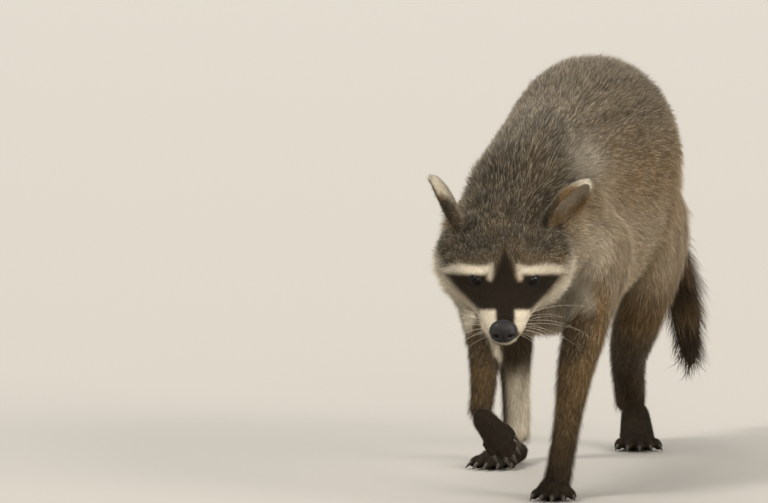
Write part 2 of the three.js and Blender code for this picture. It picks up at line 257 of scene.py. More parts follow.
def spine(length, t):
    """Middle line, tangent, left and up directions and half sizes of a length at shares t."""
    rows = through(length["stations"], t)
    ahead, behind = (through(length["stations"], t + step)[:, :3] for step in (0.01, -0.01))
    tangent = unit(ahead - behind)
    left = unit(length["side"] - tangent * (tangent @ length["side"])[:, None])
    up = np.cross(left, tangent)
    return rows[:, :3], tangent, left, up, rows[:, 3:6]


def skin_rings(length, around=40, along=44):
    """Grid of points: a ring is middle + left w c + up h s, where c and s are cos and sin of the angle,
    squared off to a superellipse, and both half sizes are less by the coat's depth."""
    t = (1 - np.cos(np.pi * np.linspace(0, 1, along))) / 2 * 0.7 + np.linspace(0, 1, along) * 0.3
    middle, tangent, left, up, size = spine(length, t)
    start, end = length["ends"]
    cap = np.sqrt(np.clip(1 - np.clip(1 - t / start, 0, 1) ** 2, 0, 1))
    cap *= np.sqrt(np.clip(1 - np.clip(1 - (1 - t) / end, 0, 1) ** 2, 0, 1))
    angle = np.linspace(0, 2 * np.pi, around, endpoint=False)
    c = np.sign(np.cos(angle)) * np.abs(np.cos(angle)) ** (2 / length["square"])
    s = np.sign(np.sin(angle)) * np.abs(np.sin(angle)) ** (2 / length["square"])
    half = np.maximum(size - length["depth"], 0.8) * cap[:, None]
    rise = np.where(s > 0, half[:, 1:2], half[:, 2:3])
    return (
        middle[:, None]
        + left[:, None] * (half[:, :1] * c)[..., None]
        + up[:, None] * (rise * s)[..., None]
    )


def grid_faces(rows, around, looped=False):
    """Quads between neighbouring rings of a grid whose rings are closed. looped joins the last to the
    first."""
    i, j = np.meshgrid(np.arange(rows if looped else rows - 1), np.arange(around), indexing="ij")
    low, high = i * around, (i + 1) % rows * around
    k = (j + 1) % around
    return np.stack([low + j, low + k, high + k, high + j], -1).reshape(-1, 4)


LENGTHS = []


def add_length(name, stations, depth, side=(1, 0, 0), ends=(0.2, 0.2), square=2.0, hair=10.0, place=None):
    """Notes one length of the body. A station is x, y, z, half width, rise and fall. depth is the coat's,
    hair is how long its locks are, both in mm. place is the frame that the stations are given in."""
    rows = np.array(stations, float)
    if place is not None:
        origin, turn = place
        rows[:, :3] = rows[:, :3] @ turn.T + origin
        side = turn @ np.array(side, float)
    LENGTHS.append({
        "name": name, "stations": rows, "depth": depth, "side": np.array(side, float), "ends": ends,
        "square": square, "hair": hair,
    })


def frame_at(origin, forward, up=(0, 0, 1)):
    """(origin, 3x3 turn) whose Y axis is forward and whose Z axis is as near up as it can be."""
    y = unit(np.array(forward, float))
    x = unit(np.cross(y, np.array(up, float)))
    return np.array(origin, float), np.column_stack([x, y, np.cross(x, y)])


# %% [markdown]
# ### Head, neck and trunk
# The head has its own frame, halfway between the eyes and looking along the muzzle. Everything on the
# face (lids, mask, brow, whiskers) is placed in it, so the head can be turned without redrawing it.
# %% The core of the body
HEAD_YAW, HEAD_PITCH = np.radians(13.0), np.radians(24.0)
EYES_MIDDLE = (-2.0, -20.0, 177.0)
LOOK = (
    np.sin(HEAD_YAW) * np.cos(HEAD_PITCH),
    -np.cos(HEAD_YAW) * np.cos(HEAD_PITCH),
    -np.sin(HEAD_PITCH),
)
HEAD = frame_at(EYES_MIDDLE, LOOK)
EYE_SPACING, EYE_RADIUS = 41.5, 7.4
EAR_LENGTH, EAR_WIDTH, EAR_RISE = 57.0, 27.0, 0.24
EARS = {}

add_length("skull", [
    (0, -76, -2, 34, 26, 26), (0, -62, -2, 50, 36, 40), (0, -44, -3, 56.5, 37, 46),
    (0, -26, -6, 54.5, 35, 44), (0, -10, -8, 45, 29, 38), (0, 2, -12, 34, 22.5, 31),
    (0, 14, -15, 27, 17, 25), (0, 30, -17.5, 21.5, 14, 19), (0, 45, -18.5, 18, 11.5, 15),
    (0, 57, -19, 15, 9.5, 11),
], depth=3.2, square=2.15, ends=(0.16, 0.12), hair=9.0, place=HEAD)
add_length("jaw", [
    (0, -8, -38, 22, 10, 12), (0, 14, -37, 17, 10, 9), (0, 32, -34, 13, 9, 7), (0, 47, -31, 10, 8, 6),
], depth=2.0, hair=6.0, place=HEAD)
add_length("neck", [
    (-8, 0, 188, 32, 32, 38), (-7, 34, 206, 46, 43, 56), (-3, 70, 222, 56, 62, 70),
    (0, 112, 232, 54, 66, 76),
], depth=5.5, square=2.1, hair=13.0)
add_length("trunk", [
    (0, 44, 196, 44, 62, 52), (0, 84, 202, 60, 88, 82), (0, 139, 210, 64, 97, 94),
    (0, 209, 218, 68, 102, 98),
    (0, 279, 230, 74, 107, 100), (0, 340, 240, 77, 104, 96), (0, 390, 236, 67, 90, 80),
    (0, 430, 232, 40, 54, 50),
], depth=5.5, square=2.1, ends=(0.1, 0.12), hair=14.5)
add_length("tail", [
    (0, 392, 250, 19, 21, 19), (14, 430, 226, 21, 21, 21), (33, 456, 190, 21.4, 21.4, 21.4),
    (47, 470, 150, 21, 21, 21),
    (53, 484, 114, 19.3, 19.3, 19.3), (54, 503, 80, 16, 16, 16), (52, 525, 50, 8.8, 8.8, 8.8),
], depth=6.0, ends=(0.08, 0.14), hair=21.0)

EAR_FOOT = np.array([42.0, -42.0, 30.0])

for name, hand, turn, lean in [("ear_left", -1, 0.45, 0.62), ("ear_right", 1, 1.3, 0.4)]:
    c, s = np.cos(lean), hand * np.sin(lean)
    tilt = np.array([[c, 0, s], [0, 1, 0], [-s, 0, c]])
    c, s = np.cos(-hand * turn), np.sin(-hand * turn)
    spin = np.array([[c, -s, 0], [s, c, 0], [0, 0, 1]])
    stand = HEAD[1] @ tilt @ spin
    foot = HEAD[1] @ (EAR_FOOT * (hand, 1, 1)) + HEAD[0]
    low = EAR_LENGTH * (EAR_RISE - 0.5)
    EARS[name] = (foot, stand)
    add_length(name, [(0, -6, low + EAR_LENGTH * s, EAR_WIDTH / 2, 4, 4) for s in (0.0, 0.5, 1.0)],
               depth=0.5, hair=4.0, place=(foot, stand))
print(len(LENGTHS), "lengths of the core")

# %% [markdown]
# ### Legs and paws
# A raccoon's legs are slim below the elbow and the heel, and its five toes are long and free like
# fingers. One function makes every paw; only its place, its spread and the height of its heel change.
# %% Legs
FOREPAW = {"width": 31, "palm": 30, "toe": 20, "radius": 4.6, "splay": 0.3, "claw": 7, "rise": 0}
HANGING_PAW = {**FOREPAW, "width": 27, "splay": 0.12}
HIND_FOOT = {"width": 36, "palm": 64, "toe": 20, "radius": 5.2, "splay": 0.3, "claw": 8, "rise": 0}
PAW_DEPTH = 1.0
CLAWS = []


def add_paw(name, place, width, palm, toe, radius, splay, claw, rise):
    """Palm and five toes in the paw's own frame, toes toward +Y and sole at z = 0, and notes its claws."""
    half = width / 2
    add_length(f"{name}_palm", [
        (0, -palm, 9.5 + rise, half * 0.62, 9, 11),
        (0, -palm * 0.55, 9.5 + rise * 0.5, half * 0.76, 10, 11.5),
        (0, -palm * 0.2, 8, half * 0.9, 9.5, 10), (0, 4, 6.5, half * 0.95, 6.5, 8.5),
    ], depth=PAW_DEPTH, ends=(0.25, 0.2), hair=5.0, place=place)
    for finger in (-2, -1, 0, 1, 2):
        angle = finger / 2 * splay
        reach = toe * (1 - 0.07 * finger**2)
        root = np.array([finger / 2 * (half - radius * 0.8), -3 - 1.2 * finger**2])
        ahead = np.array([np.sin(angle), np.cos(angle)])
        run = [(0.0, 1.15, 0.95), (0.3, 1.3, 0.86), (0.55, 1.12, 0.9), (0.8, 0.86, 0.84),
               (1.0, 0.74, 0.92)]
        add_length(f"{name}_toe", [
            (*(root + ahead * reach * s), radius * z, radius * r, radius * r, radius * r) for s, z, r in run
        ], depth=0.7, side=(np.cos(angle), -np.sin(angle), 0), ends=(0.2, 0.3), hair=3.0, place=place)
        CLAWS.append((place, root, ahead, reach, radius, claw))


def heading(angle):
    """Direction on the floor, turned from -Y toward the animal's left."""
    return np.sin(angle), -np.cos(angle), 0.0


LEGS = {
    "foreleg_left": (
        [(50, 104, 222, 22, 40, 34), (55, 96, 190, 24, 38, 34), (53, 74, 158, 21, 27, 27),
         (50, 52, 132, 17, 20, 20)],
        [(53, 66, 158, 19, 22, 22), (50, 47, 132, 17.5, 19, 19), (46, 30, 104, 15, 16, 16),
         (42, 18, 66, 11.5, 12, 12),
         (37, 13, 30, 10.5, 11, 11), (35, 9, 12, 11.5, 11, 11)],
        FOREPAW, frame_at((35, -6, 0), heading(0.12))),
    "foreleg_right": (
        [(-50, 104, 226, 22, 40, 34), (-53, 84, 196, 24, 36, 34), (-44, 58, 166, 21, 27, 27),
         (-34, 34, 150, 17, 20, 20)],
        [(-40, 46, 168, 18, 21, 21), (-32, 27, 149, 17, 20, 19), (-22, -2, 122, 14, 15, 15),
         (-18, -26, 92, 10.5, 11.5, 11.5),
         (-17, -42, 68, 9.5, 10, 10)],
        HANGING_PAW, frame_at((-3, -40, 50), (0.62, 0.16, -0.75), (0.45, -0.85, 0.2))),
    "hindleg_left": (
        [(44, 352, 232, 30, 52, 56), (53, 340, 196, 30, 50, 52), (53, 320, 156, 26, 38, 38),
         (46, 318, 122, 22, 27, 27)],
        [(50, 314, 158, 24, 30, 28), (45, 320, 130, 22, 27, 25), (33, 348, 104, 19, 21, 21),
         (20, 392, 76, 15.5, 15, 15),
         (16, 421, 46, 14, 13, 14), (17, 422, 28, 13.5, 12, 13)],
        {**HIND_FOOT, "rise": 26}, frame_at((34, 364, 0), heading(0.24))),
    "hindleg_right": (
        [(-44, 346, 230, 30, 52, 56), (-54, 320, 196, 29, 48, 50), (-56, 276, 160, 24, 36, 36),
         (-53, 240, 138, 19, 25, 25)],
        [(-54, 244, 170, 20, 27, 26), (-52, 236, 142, 19, 25, 24), (-51, 244, 110, 17, 20, 19),
         (-51, 254, 70, 13, 14, 14),
         (-51, 258, 36, 12, 13, 12), (-51, 256, 16, 12, 12, 12)],
        HIND_FOOT, frame_at((-58, 200, 0), heading(-0.16))),
}
for name, (upper, lower, paw, place) in LEGS.items():
    hind = name.startswith("hind")
    depth, length_of_hair = (4.6, 14.0) if hind else (3.6, 12.0)
    add_length(f"{name}_upper", upper, depth=depth, ends=(0.22, 0.16), hair=length_of_hair)
    add_length(f"{name}_lower", lower, depth=1.3, ends=(0.22, 0.07), hair=9.0)
    add_paw(name, place, **paw)
print(len(LENGTHS), "lengths in all,", len(CLAWS), "claws")

# %% [markdown]
# ## One skin
# The lengths overlap where muscle runs into muscle. They are melted in two steps. First the large ones
# are remeshed in coarse quads and eased hard, so that shoulder and haunch flow into the trunk. Then the
# head, the ears and the paws join them in fine quads and are eased only a little. Last, the flat parts
# are thinned out, since a coat covers them, while the face and the paws keep all their points.
# %% Remesh and smooth
VOXEL = 0.0014
COARSE_VOXEL = 0.0042
SKIN_TRIANGLES = 185000
FINE_WORDS = ("skull", "jaw", "ear", "lower", "toe", "palm")


def to_row(points):
    """Millimetres from the left forepaw to metres in the row's frame."""
    return (points + FOREPAW_FROM_CENTRE) * MM


def mesh_from(name, points, quads):
    """A mesh of the given points (n, 3) and faces, smooth shaded."""
    mesh = bpy.data.meshes.new(name)
    faces = np.asarray(quads)
    count = len(faces)
    sides = faces.shape[1]
    mesh.vertices.add(len(points))
    mesh.vertices.foreach_set("co", np.asarray(points, np.float32).ravel())
    mesh.loops.add(count * sides)
    mesh.loops.foreach_set("vertex_index", faces.astype(np.int32).ravel())
    mesh.polygons.add(count)
    mesh.polygons.foreach_set("loop_start", np.arange(0, count * sides, sides, dtype=np.int32))
    mesh.polygons.foreach_set("loop_total", np.full(count, sides, np.int32))
    mesh.polygons.foreach_set("use_smooth", np.ones(count, bool))
    mesh.update(calc_edges=True)
    return mesh


def on_the_bench(name, points, quads):
    """A passing object that only carries a modifier."""
    made = bpy.data.objects.new(name, mesh_from(name, points, quads))
    bpy.context.scene.collection.objects.link(made)
    return made


def off_the_bench(made, sides):
    """Points and faces of a passing object after its modifier. The object goes."""
    done = made.evaluated_get(bpy.context.evaluated_depsgraph_get()).to_mesh()
    place = np.empty(len(done.vertices) * 3, np.float32)
    done.vertices.foreach_get("co", place)
    corners = np.empty(len(done.loops), np.int32)
    done.loops.foreach_get("vertex_index", corners)
    bpy.data.objects.remove(made)
    return place.reshape(-1, 3).astype(float), corners.reshape(-1, sides)


def remeshed(points, quads, size):
    """Points and quads of the one closed surface round overlapping closed shapes."""
    rough = on_the_bench("rough_form", points, quads)
    melt = rough.modifiers.new("melt", "REMESH")
    melt.mode = "VOXEL"
    melt.voxel_size = size
    return off_the_bench(rough, 4)


def edges_of(faces):
    """Each edge of the faces, both ways."""
    a = faces.ravel()
    b = np.roll(faces, -1, axis=1).ravel()
    return np.concatenate([a, b]), np.concatenate([b, a])


def neighbour_mean(values, links):
    """Mean of each point's neighbours' values."""
    here, there, count = links
    return np.stack([
        np.bincount(here, values[there, k], len(values)) / count for k in range(values.shape[1])
    ], 1)


def links_of(points, faces):
    """(point, neighbour, number of neighbours) for neighbour_mean."""
    here, there = edges_of(faces)
    return here, there, np.bincount(here, minlength=len(points)).astype(float)


def smoothed(points, faces, ease, rounds, hold=0.86):
    """Each round moves a point by ease toward its neighbours' mean, then back by hold times that, which
    takes out creases and leaves the girth."""
    links = links_of(points, faces)
    for _ in range(rounds):
        points = points + ease[:, None] * (neighbour_mean(points, links) - points)
        points = points - hold * ease[:, None] * (neighbour_mean(points, links) - points)
    return points


def point_normals(points, faces):
    """Unit normals at points: the sum of the cross products of the faces around."""
    p = points[faces]
    face = np.cross(p[:, 1] - p[:, 0], p[:, 2] - p[:, 0])
    face = face + (np.cross(p[:, 2] - p[:, 0], p[:, 3] - p[:, 0]) if faces.shape[1] == 4 else 0)
    corners = range(faces.shape[1])
    return unit(np.stack([
        sum(np.bincount(faces[:, c], face[:, k], len(points)) for c in corners) for k in range(3)
    ], 1))


def ear_cup(around=36, along=26):
    """A cupped ear: an ellipse of half width a and half height b, whose distance from the middle grows as
    sin q and whose floor sinks as cos q, run outside from q = 0 to just past the rim and back inside."""
    lip = np.radians(104)
    q = np.concatenate([np.linspace(0, lip, along // 2), np.linspace(lip, 0, along // 2)])[:, None]
    inside = (np.arange(along) >= along // 2)[:, None]
    wall = np.where(inside, 2.7, 0.0)
    angle = np.linspace(0, 2 * np.pi, around, endpoint=False)[None]
    x = (EAR_WIDTH / 2 - wall) * np.sin(q) * np.cos(angle)
    z = (EAR_LENGTH / 2 - wall) * np.sin(q) * np.sin(angle) + EAR_LENGTH * EAR_RISE
    y = -(9.0 - 0.9 * wall) * np.cos(q) * (1 + 0 * angle) + 0.3 * wall
    return np.stack([x, y, z], -1)


def joined(shells):
    """Points and quads of several closed grids as one."""
    sets, first = [], 0
    for shell in shells:
        sets.append(grid_faces(*shell.shape[:2]) + first)
        first += shell.shape[0] * shell.shape[1]
    return np.vstack([s.reshape(-1, 3) for s in shells]), np.vstack(sets)


def thinned(points, quads, keep, target):
    """Triangles of the surface, collapsed to about target of them, least where keep is 1."""
    body = on_the_bench("thinning", points, quads)
    group = body.vertex_groups.new(name="loose")
    for level in (0.25, 0.5, 0.75, 1.0):
        some = np.flatnonzero(np.abs((1 - keep) - level) <= 0.125)
        group.add(some.tolist(), level, "REPLACE")
    fewer = body.modifiers.new("fewer", "DECIMATE")
    fewer.ratio = min(0.8, target / (2 * len(quads)))
    fewer.vertex_group = "loose"
    fewer.vertex_group_factor = 1.0
    fewer.use_collapse_triangulate = True
    return off_the_bench(body, 3)


def is_fine(length):
    """Whether a length belongs to the face, the ears or a paw."""
    return any(word in length["name"] for word in FINE_WORDS)


large = joined([to_row(skin_rings(length)) for length in LENGTHS if not is_fine(length)])
form, form_quads = remeshed(*large, COARSE_VOXEL)
form = smoothed(form, form_quads, np.full(len(form), 0.62), 26)
print("form", len(form), "points")

EYE_AHEAD, EYE_ABOVE = 1.1, -0.2
EYE_LOOKS = np.array([0.42, 0.86, 0.2])
LID_OPEN = (np.radians(36), np.radians(24))
LID_SLANT = 0.2


def head_place(local):
    """Places in the head's frame, in mm, as places in the row's frame."""
    return to_row(HEAD[0] + np.asarray(local, float) @ HEAD[1].T)


def in_frame(points, place):
    """Places in the row's frame as places in the frame (origin, turn), in mm."""
    origin, turn = place
    return (points / MM - FOREPAW_FROM_CENTRE - origin) @ turn


def distance_to(points, *places):
    """Distance of each point to the nearest of some places."""
    return np.min([np.linalg.norm(points - place, axis=1) for place in places], axis=0)


def toward(looks, across):
    """3x3 turn whose columns are across, the third direction, and looks."""
    z = unit(looks)
    x = unit(across - z * (across @ z))
    return np.column_stack([x, np.cross(z, x), z])


def lid_opening(angle):
    """Half opening of the lids in direction angle round the line of sight: wide at the two corners."""
    return LID_OPEN[1] + (LID_OPEN[0] - LID_OPEN[1]) * np.abs(np.cos(angle)) ** 1.4


def sphere_grid(rows, around):
    """Angles (polar, around) of a closed grid, pole to pole."""
    polar = np.linspace(0.0, np.pi, rows)[:, None]
    turn = np.linspace(0, 2 * np.pi, around, endpoint=False)[None]
    return polar + 0 * turn, turn + 0 * polar


def ball_points(polar, angle, radius):
    """Points of a ball round +Z from its polar and round angles."""
    across = np.sin(polar)
    return np.stack([across * np.cos(angle), across * np.sin(angle), np.cos(polar)], -1) * radius


def from_eye(points, eye):
    """Distance of each point to an eye's middle, and its angle past the edge of the lids."""
    centre, turn = eye
    away = (points - centre) @ turn
    distance = np.linalg.norm(away, axis=1)
    polar = np.arccos(np.clip(away[:, 2] / distance, -1, 1))
    return distance, polar - lid_opening(np.arctan2(away[:, 1], away[:, 0]))


EYES = {}
for name, hand in (("right", 1), ("left", -1)):
    slant = HEAD[1] @ np.array([1.0, -0.2, hand * LID_SLANT])
    EYES[name] = (
        head_place([hand * EYE_SPACING / 2, EYE_AHEAD, EYE_ABOVE]),
        toward(HEAD[1] @ (EYE_LOOKS * (hand, 1, 1)), slant),
    )

bones = [length for length in LENGTHS if is_fine(length) and not length["name"].startswith("ear")]
fine = [to_row(skin_rings(length)) for length in bones]
for foot, stand in EARS.values():
    fine.append(to_row(ear_cup() @ stand.T + foot))
for centre, turn in EYES.values():
    fine.append(centre + ball_points(*sphere_grid(24, 32), (EYE_RADIUS + 0.75) * MM) @ turn.T)
fine_points, fine_quads = joined(fine)
skin_points, skin_faces = remeshed(
    np.vstack([form, fine_points]), np.vstack([form_quads, fine_quads + len(form)]), VOXEL
)
ear_places = [to_row(foot + stand @ np.array([0, 0, 18.0])) for foot, stand in EARS.values()]
ear_near = distance_to(skin_points, *ear_places)
hanging = distance_to(skin_points, to_row(np.array([2, -45, 42.0])))
delicate = np.clip(np.max([
    (0.027 - ear_near) / 0.006, (0.03 - skin_points[:, 2]) / 0.01, (0.04 - hanging) / 0.01,
], axis=0), 0, 1)
skin_points = smoothed(skin_points, skin_faces, 0.62 - 0.4 * delicate, 26)
face_near = distance_to(skin_points, head_place([0, 15, -8.0]))
keep = np.maximum(delicate, np.clip((0.075 - face_near) / 0.02, 0, 1))
skin_points, skin_faces = thinned(skin_points, skin_faces, keep, SKIN_TRIANGLES)
skin_points[:, 2] = np.maximum(skin_points[:, 2], 0.0)
print("skin", len(skin_points), "points", len(skin_faces), "triangles")

# %% [markdown]
# ### Which way the coat lies
# Hair lies back from the nose, over the neck and trunk to the tail, and down each leg. So each point of
# the skin asks the middle lines of the lengths near it which way they run, and takes the mean, weighted
# by nearness in units of girth. The same question also tells it which length it belongs to, how long its
# hair is, and where it sits round that length, which later unrolls the skin into a flat map.
# %% The lie of the coat at every point
SAMPLES = 24
NEARNESS = 9.0
AGAINST_THE_GRAIN = ("skull", "jaw")


def sample_lengths():
    """Middle-line samples of all lengths, as whole arrays, with what each sample tells its neighbours."""
    told = {key: [] for key in ("place", "run", "girth", "hair", "length", "share", "left", "up")}
    for number, length in enumerate(LENGTHS):
        t = (np.arange(SAMPLES) + 0.5) / SAMPLES
        middle, tangent, left, up, size = spine(length, t)
        told["place"].append(to_row(middle))
        told["run"].append(-tangent if length["name"] in AGAINST_THE_GRAIN else tangent)
        told["girth"].append(size.mean(1) * MM)
        told["hair"].append(np.full(SAMPLES, length["hair"]))
        told["length"].append(np.full(SAMPLES, number))
        told["share"].append(t)
        told["left"].append(left)
        told["up"].append(up)
    return {key: np.concatenate(value) for key, value in told.items()}


def ask_lengths(points, told):
    """For each point: nearest sample, and the nearness-weighted mean of run and hair. The distance to a
    sample is measured in its girths, and a sample counts by exp(-NEARNESS * (distance - least distance))."""
    nearest = np.empty(len(points), int)
    run = np.empty((len(points), 3))
    hair = np.empty(len(points))
    place, girth = told["place"], told["girth"]
    for start in range(0, len(points), 20000):
        some = points[start:start + 20000]
        square = (some**2).sum(1)[:, None] - 2 * some @ place.T + (place**2).sum(1)
        distance = np.sqrt(np.maximum(square, 0)) / girth
        closest = distance.argmin(1)
        weight = np.exp(-NEARNESS * (distance - distance[np.arange(len(some)), closest][:, None]))
        weight /= weight.sum(1, keepdims=True)
        nearest[start:start + 20000] = closest
        run[start:start + 20000] = weight @ told["run"]
        hair[start:start + 20000] = weight @ told["hair"]
    return nearest, run, hair


told = sample_lengths()
nearest, run, hair = ask_lengths(skin_points, told)
names = np.array([length["name"] for length in LENGTHS])
belongs = names[told["length"][nearest]]
head_local = in_frame(skin_points, HEAD)
in_head = np.linalg.norm((head_local - (0, -34, -5)) / (60, 52, 48), axis=1) < 1.0
belongs = np.where(in_head & (np.char.find(belongs, "ear") < 0), "skull", belongs)
print("asked", len(told["place"]), "samples")

# %% [markdown]
# ### The lie, made smooth
# The first answer jumps where two lengths are equally near. Averaging it over neighbours a few dozen
# times gives a field that flows round the shoulder as real hair does, with a little weight added on the
# flanks. A second field, the slope of a smooth random height, draws the tips of neighbouring hairs
# together, which is what parts a coat into locks.
# %% Flow, locks and lift
skin_links = links_of(skin_points, skin_faces)
skin_normals = point_normals(skin_points, skin_faces)
rng = np.random.default_rng(11)


def between(x, low, high):
    """0 at low, 1 at high, with a smooth step in between; it falls instead where low is above high."""
    t = np.clip((x - low) / (high - low), 0, 1)
    return t * t * (3 - 2 * t)


def along_skin(v):
    """The part of v that lies in the skin."""
    return v - skin_normals * (v * skin_normals).sum(1, keepdims=True)


def spread(values, rounds):
    """values averaged over neighbours again and again."""
    for _ in range(rounds):
        values = neighbour_mean(values, skin_links)
    return values


flank = np.isin(belongs, ("trunk", "neck")) * np.clip(1 - np.abs(skin_normals[:, 2]), 0, 1)
down = np.array([0.0, 0.0, -1.0])
cheeks = in_head * between(np.abs(head_local[:, 0]), 26, 44) * between(head_local[:, 1], 4, -16)
outward = np.sign(head_local[:, :1]) * HEAD[1][:, 0] - 0.55 * HEAD[1][:, 2]
pull = 0.45 * flank[:, None] * down + 0.9 * cheeks[:, None] * outward
flow = unit(along_skin(spread(unit(run) + pull, 30)))
hair = spread(hair[:, None], 20)[:, 0]


def slope_of(rounds):
    """Slope along the skin of a random height smoothed by rounds, scaled to a root mean square of one."""
    height = spread(rng.normal(size=(len(skin_points), 1)), rounds)[:, 0]
    here, there, _ = skin_links
    step = skin_points[there] - skin_points[here]
    rise = (height[there] - height[here])[:, None] * step / (step**2).sum(1, keepdims=True)
    slope = np.stack([np.bincount(here, rise[:, k], len(skin_points)) for k in range(3)], 1)
    slope = along_skin(spread(slope, 2))
    return slope / np.sqrt((slope**2).sum(1).mean())


locks = slope_of(7) + 0.7 * slope_of(26)
print("coat runs", np.round(flow.mean(0), 2), "hair", round(hair.min(), 1), "to", round(hair.max(), 1), "mm")

# %% [markdown]
# ## Markings
# A raccoon's face is drawn in the plane that looks along its muzzle: how far a hair is from the middle
# line, and how far it is below the eyes. In that plane the black mask, the cream brows, the white
# muzzle and the dark stripe up the forehead are plain shapes with soft edges. Elsewhere the colour goes
# by part and height: grizzled grey on the back, tawny on the flanks and haunches, dark on the feet.
# Some of the pale is painted light where sun falls: on the withers, the lower flank and belly, the chest
# below the head, the left haunch, the left upper foreleg and, with its own paler fur, the front of the
# right shank. The right hind leg is darker as painted shade.
# %% Shapes on the face
MASK = [(-9, -4), (6.7, -3.6), (9.5, 1), (13.6, 1.5), (15.2, -4), (18, -5), (30, -6), (41.5, -5),
        (42.5, -1.5),
        (36, 6), (28, 14), (20.5, 24.5), (19.5, 23.2), (8, 22.5), (7.3, 26), (7.3, 35), (-9, 35)]
STRIPE = [(-9, -30), (0.3, -28), (1.5, -21), (3.9, -14), (6.9, -4.5), (7.6, 4), (-9, 4)]
MUZZLE = [(7.6, 23.5), (19.5, 23.4), (20.4, 28), (17.5, 38), (12.5, 46), (9, 58), (3, 62), (3, 52),
          (8.5, 48),
          (11.5, 42), (8.5, 35), (7.4, 33)]
BROW = [(11.8, -5.5), (12, -11.6), (18, -11), (24, -11.6), (33, -12.4), (43, -11.8), (51, -8),
        (44, -5.4), (32, -5.2), (22, -4.6)]
SPOT = [(9.2, -12), (12, -13), (14.2, -7), (13.6, -1), (11, 0.4), (9, -4)]
RUFF = [(21, 24.5), (22, 29), (28, 40), (42, 40), (60, 22), (66, 0), (64, -18), (50, -15), (50, -7),
        (44.5, -2), (38, 7),
        (30, 15.5)]


def inside(shape, a, v, soft):
    """How far a point (a, v) is inside a closed shape, 0 to 1 over a band soft wide round its edge."""
    corners = np.array(shape, float)
    after = np.roll(corners, -1, axis=0)
    point = np.stack([a, v], -1)[:, None]
    edge = after - corners
    share = np.clip(((point - corners) * edge).sum(-1) / (edge**2).sum(-1), 0, 1)
    distance = np.linalg.norm(point - corners - share[..., None] * edge, axis=-1).min(1)
    crosses = (corners[:, 1] > v[:, None]) != (after[:, 1] > v[:, None])
    rise = np.where(np.abs(edge[:, 1]) < 1e-9, 1e-9, edge[:, 1])
    at = corners[:, 0] + (v[:, None] - corners[:, 1]) * edge[:, 0] / rise
    odd = (crosses & (a[:, None] < at)).sum(1) % 2
    signed = np.where(odd == 1, distance, -distance)
    t = np.clip(0.5 + signed / soft, 0, 1)
    return t * t * (3 - 2 * t)


